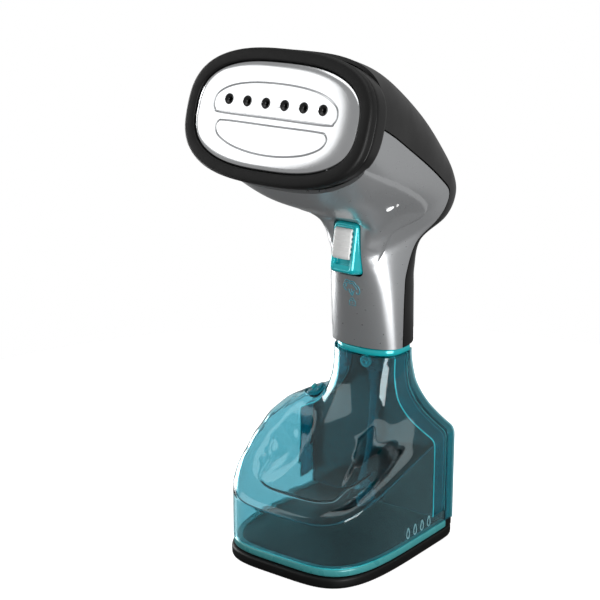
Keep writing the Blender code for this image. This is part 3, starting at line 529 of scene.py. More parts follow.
# silver front shell and black rear cover
shellSettings = dict(
    wall=2.0, seam=0.9, start=18.45, crownRise=36.4, sideRise=3.5, bellyDrop=34.2, headHalfWidth=52.0,
    headSquareness=2.8,
    # crown (y, z), side (y, z), belly (y, z), half width, squareness
    sections=[
        (-45.0, 282.5, -57.0, 250.0, -71.0, 211.0, 48.0, 2.8),
        (-21.0, 270.0, -37.0, 240.5, -52.0, 203.0, 43.5, 2.7),
        (5.0, 254.0, -9.0, 226.5, -40.0, 196.5, 38.0, 2.5),
        (28.0, 236.5, 14.0, 214.5, -34.0, 190.0, 32.5, 2.3),
        (46.0, 218.5, 30.6, 204.3, -31.5, 184.0, 28.0, 2.3),
        (58.5, 201.0, 33.0, 195.2, -30.0, 178.0, 25.0, 2.3),
        (51.5, 185.8, 26.8, 187.2, -28.5, 173.0, 22.8, 2.3),
        (21.2, 178.6, 8.0, 177.6, -26.5, 167.0, 21.3, 2.3),
        (18.2, 161.3, -1.4, 161.3, -24.0, 160.0, 21.0, 2.3),
        (18.9, 148.0, -3.8, 147.4, -21.5, 147.0, 21.3, 2.3),
        (20.2, 116.7, -4.8, 116.7, -17.2, 117.4, 21.5, 2.3),
    ],
    # the contour line on each flank: (station, degrees below the seam)
    contour=[(-0.3, 29.5), (0.2, 28.0), (0.95, 24.5), (1.7, 23.0), (2.5, 21.5), (3.3, 20.0), (3.95, 18.8),
             (4.5, 18.2), (4.9, 18.4), (5.15, 20.5), (5.22, 25.0), (5.12, 31.0), (5.04, 37.0), (5.08, 42.5),
             (5.3, 46.0), (5.75, 48.5), (6.4, 50.0), (7.1, 50.5), (7.8, 51.5), (8.4, 52.5)],
    contourDepth=1.05, contourEdge=1.5, contourRunOut=15.0, contourFadeFrom=0.86, contourSteps=260,
    # the front is pressed flat behind the trigger: how far back, how wide, and from where to where
    flatY=-26.3, flatHalfWidth=9.8, flatFade=21.0, flatLow=(148.0, 164.0), flatHigh=(191.0, 203.0),
    flatUntil=-5.0, flatSoftness=2.0,
    # half width, half height, corner radius and height of the two openings
    triggerHole=(9.25, 15.7, 3.5, -12.3), buttonHole=(5.85, 7.85, 4.0, 134.0),
)


def headSection():
    s = shellSettings
    tilt = radians(-plateLean)
    y, z = plateCentre
    row = []
    for rise in (s["crownRise"], s["sideRise"], -s["bellyDrop"]):
        row += [y + s["start"] * cos(tilt) + rise * sin(tilt), z - s["start"] * sin(tilt) + rise * cos(tilt)]
    return (*row, s["headHalfWidth"], s["headSquareness"])


bodyRows = [headSection()] + shellSettings["sections"]


def bodyPoint(station, degreesRound, crown, seam=0.0):
    crownY, crownZ, sideY, sideZ, bellyY, bellyZ, halfWidth, squareness = rowAt(bodyRows, station)
    endY, endZ = (crownY, crownZ) if crown else (bellyY, bellyZ)
    length = ((endY - sideY) ** 2 + (endZ - sideZ) ** 2) ** 0.5
    angle = radians(degreesRound)
    share = seam / 2 / length + (1 - seam / 2 / length) * signedPower(sin(angle), 2 / squareness)
    return (halfWidth * signedPower(cos(angle), 2 / squareness),
            sideY + (endY - sideY) * share, sideZ + (endZ - sideZ) * share)


def pressContour(skin):
    s = shellSettings
    count = s["contourSteps"]
    spots = []
    for k in range(count + 1):
        station, below = rowAt(s["contour"], (len(s["contour"]) - 1) * k / count)
        spots.append(Vector(bodyPoint(station, below, False)))
    tree = KDTree(len(spots))
    for k, spot in enumerate(spots):
        tree.insert(spot, k)
    tree.balance()
    skin.normal_update()
    moves = []
    for point in skin.verts:
        mirrored = Vector((abs(point.co.x), point.co.y, point.co.z))
        normal = Vector((point.normal.x * (1 if point.co.x >= 0 else -1), point.normal.y, point.normal.z))
        spot, k, _ = tree.find(mirrored)
        ahead = (spots[min(k + 1, count)] - spots[max(k - 1, 0)]).normalized()
        across = normal.cross(ahead).normalized()
        away = (mirrored - spot).dot(across)
        fade = 1 - easeStep(k / count, s["contourFadeFrom"], 1.0)
        press = easeStep(away, -s["contourEdge"] / 2, s["contourEdge"] / 2)
        press *= 1 - easeStep(away, 1.0, s["contourRunOut"])
        # past the last point of the line nothing is pressed in
        if k < count:
            moves.append((point, -point.normal * press * fade * s["contourDepth"]))
    for point, move in moves:
        point.co += move


def flattenBehindTrigger(skin):
    s = shellSettings
    for point in skin.verts:
        if point.co.y > s["flatUntil"]:
            continue
        share = 1 - easeStep(abs(point.co.x), s["flatHalfWidth"], s["flatFade"])
        share *= easeStep(point.co.z, *s["flatLow"]) * (1 - easeStep(point.co.z, *s["flatHigh"]))
        proud = s["flatY"] - point.co.y
        # what stands proud goes back, with a soft turn where it starts
        point.co.y += share * 0.5 * (proud + (proud * proud + s["flatSoftness"]) ** 0.5)


def opening(halfWidth, halfHeight, radius, rise, front, back, around=64):
    # a rounded slot that runs from front to back
    def outline(turn, y):
        x, z = roundedRect(turn, halfWidth, halfHeight, radius)
        return (x, y, z + rise)
    return ringLoft(outline, [(front,), (back,)], around)


def halfBody(columns, rows, crown, inside):
    last = len(bodyRows) - 1
    skin = shapeGrid(columns, rows, lambda u, v: bodyPoint(last * v, 180 * u, crown, shellSettings["seam"]))
    faceAway(skin, inside)
    return skin


def makeFrontShell():
    s = shellSettings
    skin = halfBody(132, 190, False, (0, -20, 215))
    pressContour(skin)
    flattenBehindTrigger(skin)
    shell = makePiece("frontShell", skin, "silverPaint", smooth=50)
    giveWall(shell, s["wall"])
    hole = opening(*s["triggerHole"], -18, 9)
    bmesh.ops.transform(hole, matrix=handlePlace.inverted() @ triggerPlace, verts=hole.verts)
    cutAway(shell, [hole], smooth=50)
    return fit(shell, "handset", "shell_silver", "front_shell")


def makeRearCover():
    s = shellSettings
    cover = makePiece("rearCover", halfBody(96, 150, True, (0, -20, 205)), "satinAbsBlack", smooth=50)
    giveWall(cover, s["wall"])
    cutAway(cover, [opening(*s["buttonHole"], 12, 30)], smooth=50)
    fit(cover, "handset", "cover_black", "rear_cover")


# trigger and its lock, in trigger coordinates: Y back from the pin, Z up the face
triggerSettings = dict(
    halfWidth=8.75, halfHeight=15.0, centre=-11.9, corner=3.2,
    # (inset, depth) from the back edge to the face, with a lip round a dished face
    profile=[(0.0, 3.0), (0.1, -1.0), (0.25, -4.4), (0.5, -5.9), (0.85, -6.9), (1.3, -7.6), (1.75, -7.95),
             (2.15, -8.0), (2.5, -7.85), (2.8, -7.6)],
    window=(5.4, 9.85, 0.9, -11.95), windowDepth=-4.4,
    lockHalfWidth=5.05, lockTop=-2.4, lockHeight=14.2, lockFace=-8.5, ribs=5, ribDepth=0.8, lockCrown=0.9,
)


def makeTrigger():
    s = triggerSettings

    def outline(turn, inset, depth):
        x, z = roundedRect(turn, s["halfWidth"] - inset, s["halfHeight"] - inset, s["corner"] - 0.6 * inset)
        return (x, depth, z + s["centre"])

    trigger = makePiece("trigger", ringLoft(outline, s["profile"], 96), "tealPolycarbonate", triggerPlace, 35)
    cutAway(trigger, [opening(*s["window"], -12, s["windowDepth"], 48)], triggerPlace, 35)
    softenEdges(trigger, 0.3, 3, 50)
    fit(trigger, "trigger", "trigger_teal", "trigger")

    def face(u, v):
        x = (2 * u - 1) * s["lockHalfWidth"]
        phase = (v * s["ribs"]) % 1.0 if v < 1 else 1.0
        bulge = easeStep(sin(pi * phase), 0.05, 0.8)
        y = s["lockFace"] + s["ribDepth"] * (1 - bulge) + s["lockCrown"] * (2 * u - 1) ** 2
        return (x, y, s["lockTop"] - s["lockHeight"] * v)

    skin = shapeGrid(24, 100, face)
    faceAway(skin, (0, 0, -10))
    lock = makePiece("triggerLock", skin, "paleNylon", triggerPlace, 60)
    giveWall(lock, 2.4)
    fit(lock, "trigger_lock", "lock_white", "trigger_lock")


# water tank
tankSettings = dict(
    halfWidth=47.5, back=5.65, wall=1.8, floor=12.55, straight=0.06, wallShare=0.16, bow=0.5,
    # width share, front y, height in front, height behind, squareness
    rows=[
        (1.0, -91.0, 36.7, 66.0, 4.3), (0.975, -89.0, 40.0, 68.3, 4.1), (0.895, -83.0, 43.5, 70.5, 3.8),
        (0.78, -71.0, 46.5, 74.0, 3.4), (0.65, -58.0, 51.5, 78.7, 3.0), (0.54, -48.0, 58.5, 84.5, 2.7),
        (0.46, -37.5, 67.5, 91.0, 2.5), (0.425, -28.5, 79.0, 97.5, 2.4), (0.41, -22.5, 90.5, 104.0, 2.3),
        (0.412, -19.5, 102.0, 109.0, 2.3), (0.42, -17.8, 111.6, 111.6, 2.3),
    ],
    # the fold across the deck: the row it follows, how deep it is and how far round it reaches, in degrees
    foldRow=2.28, foldRise=0.62, foldTurn=(25.0, 38.0), foldDepth=1.25, foldReach=(44.0, 66.0),
    # the filler shoulder swells the deck on the far side: (y, rise)
    shoulder=[(-91.0, 0.0), (-78.0, 1.5), (-64.0, 5.5), (-50.0, 9.5), (-36.0, 12.5), (-20.0, 12.0),
              (-8.0, 9.0), (3.0, 5.0), (5.65, 2.5)],
    shoulderWidth=(12.0, 38.0),
    fillCentre=(-31.5, -17.0, 86.0), fillNormal=(-0.5, -0.16, 0.85), fillRadius=6.5,
    # (radius, height) of the plug that closes it, and the size of the tab to pull it by
    plug=[(0, -3.2), (4.6, -3.2), (5.1, -2.8), (5.4, -2.0), (5.4, -1.2), (5.9, -0.6), (6.1, 0.1),
          (6.05, 0.9), (5.6, 1.45), (4.4, 1.6), (3.6, 1.25), (0, 1.2)],
    plugTab=(5.6, 1.6, 2.6),
)


def shoulderRise(x, y):
    line = tankSettings["shoulder"]
    rise = line[-1][1]
    for (y0, low), (y1, high) in zip(line, line[1:]):
        if y <= y1:
            rise = low + (high - low) * easeStep(y, y0, y1)
            break
    return rise * easeStep(-x, *tankSettings["shoulderWidth"])


def tankRow(v):
    # the row at this height up the skin, and where its round begins
    s = tankSettings
    t = max(0.0, (v - s["wallShare"]) / (1 - s["wallShare"])) * (len(s["rows"]) - 1)
    row = rowAt(s["rows"], t)
    return t, row, -9.0 + 7.0 * (1 - row[0])


def tankHeight(row, y):
    s = tankSettings
    rise = (y - row[1]) / (s["back"] - row[1])
    return row[2] + (row[3] - row[2]) * (rise + s["bow"] * rise * (1 - rise))


def downTheWall(z, v):
    s = tankSettings
    return s["floor"] + (z - s["floor"]) * v / s["wallShare"] if v < s["wallShare"] else z


def tankPoint(u, v, outward=0.0):
    s = tankSettings
    t, row, curveStart = tankRow(v)
    share, front, low, high, squareness = row
    halfWidth = share * s["halfWidth"] + outward
    turn = 90.0
    if min(u, 1 - u) < s["straight"]:
        along = min(u, 1 - u) / s["straight"]
        x, y = (1 if u < 0.5 else -1) * halfWidth, s["back"] + (curveStart - s["back"]) * along
    else:
        angle = pi * (u - s["straight"]) / (1 - 2 * s["straight"])
        turn = abs(angle * 180 / pi - 90)
        x = halfWidth * signedPower(cos(angle), 2 / squareness)
        y = curveStart - (curveStart - front + outward) * signedPower(sin(angle), 2 / squareness)
    z = tankHeight(row, y)
    line = s["foldRow"] + s["foldRise"] * easeStep(turn, *s["foldTurn"])
    step = easeStep(t, line - 0.08, line + 0.08) * (1 - easeStep(t, line + 0.3, line + 1.6))
    z -= s["foldDepth"] * (1 - easeStep(turn, *s["foldReach"])) * step
    z += shoulderRise(x, y) * easeStep(u, 0.5, 0.6)
    return (x, y, downTheWall(z, v))


def makeTankBowl():
    s = tankSettings
    skin = shapeGrid(150, 150, tankPoint)
    faceAway(skin, (0, -35, 40))
    bowl = makePiece("tankBowl", skin, "tealClearTank", smooth=50)
    giveWall(bowl, s["wall"])
    shape = BVHTree.FromObject(bowl, bpy.context.evaluated_depsgraph_get())
    out = Vector(s["fillNormal"]).normalized()
    above = Vector(s["fillCentre"]) + 25 * out
    hit = shape.ray_cast((handlePlace @ above) * mm, -out)[0]
    fillPlace = Matrix.Translation(hit / mm) @ out.to_track_quat("Z", "Y").to_matrix().to_4x4()
    cutAway(bowl, [turned([(0, -9), (s["fillRadius"], -9), (s["fillRadius"], 9), (0, 9)])], fillPlace, 50)
    fit(bowl, "tank", "tank_clear_teal", "tank_bowl")
    plug = makePiece("fillPlug", turned(s["plug"]), "tealClearRim", fillPlace)
    fit(plug, "fill_plug", "plug_teal", "fill_plug")
    tab = roundedBox(*s["plugTab"], (0, 0, 1.9), 0.6)
    fit(makePiece("fillPlugTab", tab, "tealPolycarbonate", fillPlace), "fill_plug", "plug_teal")


# the clear rim that frames the tank's open back, and the flange that laps the black panel
rimSettings = dict(
    front=-8.0, stand=0.3, wall=0.28, low=0.02, high=0.98, sides=((1, "Left"), (-1, "Right")),
    # name, share of the way forward, radius and finish of the beads along the rim
    # the Front and Inner beads are painted highlights along the rim's edges
    beads=[("Front", 1.0, 0.42, "tealPaintedEdgeHighlight"), ("Rear", 0.13, 0.55, "tealBand"),
           ("Inner", 0.3, 0.22, "tealPaintedEdgeHighlight")],
    flangeFront=5.0, flangeDepth=7.5, flangeLow=12.0, flangeStand=0.3, flangeWall=0.3, flangeEdge=0.75,
    creaseSink=0.25, creaseRadius=0.36, steps=90,
)


def clearSkin(name, side, columns, rows, place, thickness):
    skin = shapeGrid(columns, rows, lambda u, v: place(side, u, v))
    faceAway(skin, (0, 0, 50))
    piece = makePiece(name, skin, "tealClearRim", smooth=60)
    giveWall(piece, thickness)
    fit(piece, "tank", "trim_teal")


def rimPoint(side, u, v):
    s, rim = tankSettings, rimSettings
    v = rim["low"] + (rim["high"] - rim["low"]) * v
    row, curveStart = tankRow(v)[1:]
    x = tankPoint(0.0, v, rim["stand"])[0]
    y = s["back"] + (rim["front"] - s["back"]) * u
    if y < curveStart:
        x *= (1 - ((curveStart - y) / (curveStart - row[1])) ** row[4]) ** (1 / row[4])
    return (side * x, y, downTheWall(tankHeight(row, y), v))


def flangePoint(side, u, v):
    rim, upright = rimSettings, 0.3
    if v < upright:
        low = rim["flangeLow"]
        halfWidth, z = baseSettings["panelHalfWidth"], low + (panelSettings["shoulder"] - low) * v / upright
    else:
        halfWidth, z = panelSide(9.9 * (v - upright) / (1 - upright))
    squareness, middle, depth = panelSection(z)
    y = rim["flangeFront"] + rim["flangeDepth"] * u
    x = halfWidth * (1 - (max(0.0, y - middle) / depth) ** squareness) ** (1 / squareness)
    return (side * (x + rim["flangeStand"]), y, z)


def makeTankRim():
    rim = rimSettings
    steps = rim["steps"]
    for side, name in rim["sides"]:
        clearSkin("tankRim" + name, side, 12, 120, rimPoint, rim["wall"])
        for part, u, radius, finish in rim["beads"]:
            path = [rimPoint(side, u, k / steps) for k in range(steps + 1)]
            fit(makeTube("tankRim" + name + part, [path], radius, finish), "tank", "trim_teal")
    for side, name in rim["sides"]:
        clearSkin("tankFlange" + name, side, 10, 110, flangePoint, rim["flangeWall"])
        path = [flangePoint(side, 1.0, k / steps) for k in range(steps + 1)]
        edge = makeTube("tankFlangeEdge" + name, [path], rim["flangeEdge"], "tealFrost")
        fit(edge, "tank", "trim_teal")
    # a fine bright line where the deck meets the wall
    crease = []
    for k in range(241):
        x, y, z = tankPoint(rim["low"] + 0.96 * k / 240, tankSettings["wallShare"], -0.1)
        crease.append((x, y, z - rim["creaseSink"]))
    fit(makeTube("tankCrease", [crease], rim["creaseRadius"], "tealClearRim"), "tank", "tank_clear_teal")


bandSettings = dict(
    front=91.0, middle=-9.0, squareness=4.3,
    # (outward, z)
    band=[(-3.0, 7.45), (0.6, 7.45), (1.15, 7.75), (1.4, 8.4), (1.4, 10.9), (1.2, 11.5), (0.75, 11.9),
          (0.1, 12.15), (-3.0, 12.15)],
    sheet=[(-3.4, 7.6), (-3.4, 11.2), (-3.9, 11.7)],
    line=(0.72, 12.2), lineRadius=0.5,
    collarHalfWidth=21.5, collarMiddle=-2.0, collarLength=15.4, collarSquareness=2.3,
    # (inset, z)
    collar=[(0.9, 111.95), (0.4, 112.1), (0.08, 112.5), (0.0, 113.0), (0.0, 115.2), (0.15, 115.6),
            (0.5, 115.85)],
)


def noseOutline(turn, straight, halfWidth, middle, length, squareness, z):
    # a closed outline: round the nose, then straight across the back
    nose, back = 0.8, tankSettings["back"]
    if turn > nose:
        return (halfWidth * (2 * (turn - nose) / (1 - nose) - 1), back, z)
    if turn < straight or turn > nose - straight:
        along = turn / straight if turn < 0.5 else (nose - turn) / straight
        return ((1 if turn < 0.5 else -1) * halfWidth, back + (middle - back) * along, z)
    angle = pi * (turn - straight) / (nose - 2 * straight)
    return (halfWidth * signedPower(cos(angle), 2 / squareness),
            middle - length * signedPower(sin(angle), 2 / squareness), z)


def tankOutline(turn, outward, z):
    s = bandSettings
    halfWidth, length = tankSettings["halfWidth"] + outward, s["front"] + outward + s["middle"]
    return noseOutline(turn, 0.04, halfWidth, s["middle"], length, s["squareness"], z)


def collarOutline(turn, inset, z):
    s = bandSettings
    return noseOutline(turn, 0.05, s["collarHalfWidth"] - inset, s["collarMiddle"], s["collarLength"] - inset,
                       s["collarSquareness"], z)


def makeTankBands():
    s = bandSettings
    band = makePiece("tankBand", hoop(tankOutline, s["band"], 200), "tealBand", smooth=50)
    fit(band, "tank", "trim_teal", "tank_floor")
    # a painted highlight along the top of the band
    line = [tankOutline(0.8 * k / 200, *s["line"]) for k in range(201)]
    fit(makeTube("tankBandLine", [line], s["lineRadius"], "tealPaintedEdgeHighlight"), "tank", "trim_teal")
    sheet = makePiece("tankFloor", ringLoft(tankOutline, s["sheet"], 200), "satinAbsBlack", smooth=50)
    fit(sheet, "tank", "trim_teal")
    # the bright collar that caps the neck
    collar = ringLoft(collarOutline, s["collar"], 160)
    fit(makePiece("tankCollar", collar, "tealPolycarbonate", smooth=50), "tank", "trim_teal", "tank_collar")


# two snap tongues and a screw boss, inside the clear neck
neckSettings = dict(
    tongue=dict(width=1.6, depth=4.6, height=10.5, x=13.2, z=104.5),
    hook=dict(width=2.4, depth=4.2, height=2.2, x=13.6, z=100.2),
    tongueY=-7.5, bossPlace=(3.0, -14.3, 106.6),
    # (radius, height)
    boss=[(1.1, 0.0), (1.7, 0.0), (1.9, 0.3), (1.9, 3.0), (3.1, 3.2), (3.4, 3.0), (3.4, 1.4), (3.0, 1.2),
          (2.6, 1.4), (2.6, 3.4), (1.1, 3.4), (1.1, 0.0)],
)


def makeNeckFittings():
    s = neckSettings
    for side, name in rimSettings["sides"]:
        for part in ("tongue", "hook"):
            size = s[part]
            centre = (side * size["x"], s["tongueY"], size["z"])
            solid = roundedBox(size["width"], size["depth"], size["height"], centre, 0.5)
            fit(makePiece("neck" + part.capitalize() + name, solid, "tealClearRim"), "tank", "trim_teal")
    place = handlePlace @ Matrix.Translation(s["bossPlace"]) @ towardsY
    fit(makePiece("neckBoss", turned(s["boss"], 40), "tealPolycarbonate", place), "tank", "trim_teal")


# base and back panel
baseSettings = dict(
    halfWidth=49.5, front=94.2, back=21.5, middle=-6.0, squarenessBack=5.0, squarenessFront=4.3,
    # (inset, z)
    profile=[(2.2, 0.8), (1.0, 0.85), (0.35, 1.25), (0.05, 2.0), (0.0, 3.0), (0.0, 5.6), (0.15, 6.3),
             (0.5, 6.8), (1.2, 7.0)],
    panelHalfWidth=48.4,
)
panelSettings = dict(
    back=18.8, front=6.35, low=7.35, high=115.85, shoulder=66.0, overhang=0.9,
    squareness=5.0, squarenessFall=2.6, middleFall=11.0, backRise=1.2, glandHole=6.35, glandHeight=30.0,
)


def baseOutline(turn, inset, z):
    s = baseSettings
    angle = 2 * pi * turn
    length, squareness = s["front"] + s["middle"], s["squarenessFront"]
    if sin(angle) > 0:
        length, squareness = s["back"] - s["middle"], s["squarenessBack"]
    return ((s["halfWidth"] - inset) * signedPower(cos(angle), 2 / squareness),
            s["middle"] + (length - inset) * signedPower(sin(angle), 2 / squareness), z)


def makeBase():
    base = ringLoft(baseOutline, baseSettings["profile"], 200)
    fit(makePiece("basePlate", base, "mattAbsBlack", smooth=50), "handset", "base_black", "base_plate")


def panelSide(t):
    # half width and height of the panel's edge, pushed out square to the bell
    rows, width, overhang = tankSettings["rows"], tankSettings["halfWidth"], panelSettings["overhang"]
    here, before, ahead = rowAt(rows, t), rowAt(rows, max(t - 0.02, 0)), rowAt(rows, min(t + 0.02, 10))
    along = Vector(((ahead[0] - before[0]) * width, ahead[3] - before[3])).normalized()
    return (here[0] * width + along.y * overhang, here[3] - along.x * overhang)


def panelSection(z):
    s = panelSettings
    share = max(0.0, (z - s["shoulder"]) / (s["high"] - s["shoulder"])) ** 0.7
    middle = s["front"] - s["middleFall"] * share
    return s["squareness"] - s["squarenessFall"] * share, middle, s["back"] + s["backRise"] * share - middle


def panelPoint(u, v):
    s, upright, roundShare = panelSettings, 0.15, 0.75
    if v < upright:
        halfWidth, z = baseSettings["panelHalfWidth"], s["low"] + (s["shoulder"] - s["low"]) * v / upright
    else:
        halfWidth, z = panelSide(10 * (v - upright) / (1 - upright))
    if v == 1.0 or z > s["high"]:
        z = s["high"]
    squareness, middle, depth = panelSection(z)
    lowest = asin(max(0.0, (s["front"] - middle) / depth) ** (squareness / 2))
    if u > roundShare:
        # straight across the front, from one end of the round back to the other
        x = halfWidth * signedPower(cos(lowest), 2 / squareness)
        return (x * (2 * (u - roundShare) / (1 - roundShare) - 1), s["front"], z)
    angle = lowest + (pi - 2 * lowest) * u / roundShare
    return (halfWidth * signedPower(cos(angle), 2 / squareness),
            middle + depth * signedPower(sin(angle), 2 / squareness), z)


def makeBackPanel():
    s = panelSettings
    skin = shapeGrid(96, 120, panelPoint)
    bmesh.ops.remove_doubles(skin, verts=skin.verts, dist=1e-4)
    panel = makePiece("backPanel", fillEnds(skin), "satinAbsBlack", smooth=45)
    hole = turned([(0, 10), (s["glandHole"], 10), (s["glandHole"], 30), (0, 30)], 40)
    lift = Matrix.Translation((0, 0, s["glandHeight"]))
    bmesh.ops.transform(hole, matrix=lift @ towardsY, verts=hole.verts)
    cutAway(panel, [hole], smooth=45)
    fit(panel, "handset", "cover_black", "back_panel")


# marks, and the ready light with its painted highlight and glare
markSettings = dict(
    # the steam cloud, in shares of its width and height
    cloud=[
        [(0.20, 0.28), (0.08, 0.36), (0.0, 0.55), (0.06, 0.72), (0.13, 0.76), (0.14, 0.92), (0.27, 1.0),
         (0.40, 0.95), (0.47, 0.90), (0.60, 0.96), (0.74, 0.88), (0.80, 0.74), (0.90, 0.68), (0.98, 0.50),
         (1.0, 0.32), (0.93, 0.17), (0.82, 0.16), (0.78, 0.24)],
        [(0.14, 0.50), (0.20, 0.62), (0.24, 0.78), (0.33, 0.84), (0.47, 0.76), (0.60, 0.82), (0.68, 0.70),
         (0.78, 0.58), (0.84, 0.42)],
        [(0.33, 0.42), (0.37, 0.22), (0.50, 0.0)],
        [(0.5, 0.45), (0.52, 0.1)],
        [(0.68, 0.36), (0.60, 0.22), (0.55, 0.02)],
    ],
    cloudLeft=-4.8, cloudWidth=10.8, cloudLow=148.4, cloudHeight=9.4, cloudStroke=0.34,
    lockMiddle=0.5, lockLow=142.4, lockHigh=145.2, lockHalfWidth=2.1, bowRadius=(1.3, 1.5), lockStroke=0.28,
    sink=0.1,
    waves=9, waveFrom=2.1, waveSpan=1.5, waveSway=0.035, waveLow=3.4, waveHeight=4.2, waveStroke=0.34,
    drops=4, dropSize=3.0, dropFrom=-34.0, dropPitch=7.2, dropHeight=18.1, dropStand=0.12, dropStroke=0.42,
)


def cloudStrokes():
    s = markSettings
    strokes = []
    for line in s["cloud"]:
        steps = 8 * (len(line) - 1)
        curve = [rowAt(line, (len(line) - 1) * k / steps) for k in range(steps + 1)]
        strokes.append([(s["cloudLeft"] + s["cloudWidth"] * a, s["cloudLow"] + s["cloudHeight"] * b)
                        for a, b in curve])
    return strokes


def padlockStrokes():
    s = markSettings
    middle, low, high, half = s["lockMiddle"], s["lockLow"], s["lockHigh"], s["lockHalfWidth"]
    wide, tall = s["bowRadius"]
    body = [(middle + side * half, z) for side, z in ((-1, high), (1, high), (1, low), (-1, low), (-1, high))]
    bow = [(middle + wide * cos(pi * k / 10), high + 0.2 + tall * sin(pi * k / 10)) for k in range(11)]
    return [body, bow, [(middle, low + 1.8), (middle, low + 0.9)]]


def markOnGrip(shell, name, strokes, radius):
    shape = BVHTree.FromObject(shell, bpy.context.evaluated_depsgraph_get())
    lines = []
    for stroke in strokes:
        line = []
        for x, z in stroke:
            hit = shape.ray_cast(Vector(inFrame((x, -60, z))) * mm, Vector((0, 1, 0)))[0]
            if hit:
                line.append((hit.x / mm, hit.y / mm - handleBack + markSettings["sink"], hit.z / mm))
        lines.append(line)
    fit(makeTube(name, lines, radius, "printedTeal"), "handset", "trigger_teal")


def makeMarks(shell):
    s = markSettings
    markOnGrip(shell, "steamMark", cloudStrokes(), s["cloudStroke"])
    markOnGrip(shell, "padlockMark", padlockStrokes(), s["lockStroke"])
    # a row of plain rising steam waves beside the seam of the cover, on both sides
    for side, name in rimSettings["sides"]:
        waves = []
        for k in range(s["waves"]):
            station = s["waveFrom"] + s["waveSpan"] * k / (s["waves"] - 1)
            wave = []
            for j in range(13):
                up = j / 12
                sway = s["waveSway"] * sin(2 * pi * up)
                x, y, z = bodyPoint(station + sway, s["waveLow"] + s["waveHeight"] * up, True)
                wave.append((side * (x + 0.05), y, z))
            waves.append(wave)
        fit(makeTube("steamWaves" + name, waves, s["waveStroke"], "printedCyanPaintedGlow"), "handset", "trigger_teal")
    drops = []
    for k in range(s["drops"]):
        drop = []
        for j in range(25):
            angle = 2 * pi * j / 24
            # pointed at the top, round at the bottom
            width = 0.62 * (1 - 0.275 * (1 + cos(angle)))
            drop.append((tankSettings["halfWidth"] + s["dropStand"],
                         s["dropFrom"] + s["dropPitch"] * k + s["dropSize"] * width * sin(angle),
                         s["dropHeight"] + s["dropSize"] * cos(angle)))
        drops.append(drop)
    fit(makeTube("waterDrops", drops, s["dropStroke"], "printedGrey"), "tank", "tank_clear_teal")


lightSettings = dict(
    normal=(0.75, -0.08, -0.65), along=(0.42, 0.82, 0.38),
    # name, aimed at, size, finish, the node it stands for
    # the white drop glows as a painted highlight, and the grey drop beside it is painted glare
    drops=[("readyLight", (31.9, -35.0, 207.0), (5.2, 3.2, 1.6), "lensPaintedHighlight", ["ready_light_lens"]),
           ("readyLightPaintedGlare", (33.3, -30.6, 208.6), (2.0, 3.0, 1.0), "paleNylon", [])],
)


def makeReadyLight(shell):
    s = lightSettings
    shape = BVHTree.FromObject(shell, bpy.context.evaluated_depsgraph_get())
    out = Vector(s["normal"]).normalized()
    along = Vector(s["along"])
    along = (along - out * along.dot(out)).normalized()
    turn = Matrix((along, out.cross(along), out)).transposed().to_4x4()
    for name, aim, size, finish, nodes in s["drops"]:
        dome = bmesh.new()
        bmesh.ops.create_uvsphere(dome, u_segments=40, v_segments=20, radius=0.5)
        for point in dome.verts:
            # drawn out to a point at one end, like a drop
            point.co.y *= 1 - 0.75 * max(0.0, point.co.x + 0.1)
        bmesh.ops.scale(dome, vec=size, verts=dome.verts)
        hit = shape.ray_cast((handlePlace @ (Vector(aim) + 20 * out)) * mm, -out)[0]
        piece = makePiece(name, dome, finish, Matrix.Translation(hit / mm) @ turn)
        fit(piece, "handset", "lens_white", *nodes)


# finishes of the parts that keep their own shape
keptFinishes = dict(
    mattNylonBlack=["channel_cover", "relay", "microswitch"],
    softRubber=["plate_seal", "base_pad", "cord_gland", "pump_mount_lower", "pump_mount_upper",
                "outlet_seal"],
    silicone=["inlet_hose", "outlet_hose"],
    dieCastAluminium=["boiler_body", "boiler_lid", "boiler_inlet"],
    brightSteel=["heating_element", "thermostat", "fuse_clamp", "boiler_screw_1", "boiler_screw_2",
                 "boiler_screw_3", "boiler_screw_4", "base_screw_1", "base_screw_2", "trigger_pin",
                 "trigger_spring"],
    paleNylon=["thermal_fuse", "pump_barrel", "trigger_bracket", "tank_coupling", "capacitor",
               "switch_plunger"],
    enamelledCopper=["pump_coil"],
    circuitBoardGreen=["control_board"],
    tealClearTank=["tank_back_wall"],
    tealClearRim=["tank_outlet", "intake_tube", "intake_filter"],
    mattAbsBlack=["release_button"],
)


def finishKeptParts():
    for finish, names in keptFinishes.items():
        for name in names:
            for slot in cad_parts[name].material_slots:
                slot.material = finishes[finish]


# floor, light and camera, in metres
stageSettings = dict(
    floorRadius=0.42, floorGlow=0.88, floorWhite=0.6, floorDim=0.1, skyGlow=0.34,
    # name, place, aimed at, width, height, watts
    lights=[
        ("plateSoftbox", (-1.12, -0.98, 0.70), (0, -0.05, 0.25), 0.86, 0.9, 3.6),
        ("rightSoftbox", (1.03, -0.40, -0.02), (0, 0, 0.12), 0.66, 1.2, 21),
        ("leftStrip", (-1.1, 0.05, -0.02), (0, 0, 0.12), 0.6, 1.2, 17),
        ("topSoftbox", (0.1, 0.0, 1.4), (0, 0, 0.15), 1.4, 1.4, 9),
    ],
    focalLength=94.79, sensorWidth=36.0, cameraPlace=(0.4968, -0.7063, 0.3999), lookDown=16.4225,
    lookRound=37.067,
)


def plainSight(owner):
    # 1 where the surface is looked at straight or through the clear plastic, 0 in reflections
    ray = addNode(owner, "ShaderNodeLightPath")
    sight = addNode(owner, "ShaderNodeMath", operation="MAXIMUM",
                    links={0: ray.outputs["Is Camera Ray"], 1: ray.outputs["Is Transmission Ray"]})
    return sight.outputs[0]


def grey(value):
    return (value, value, value, 1)


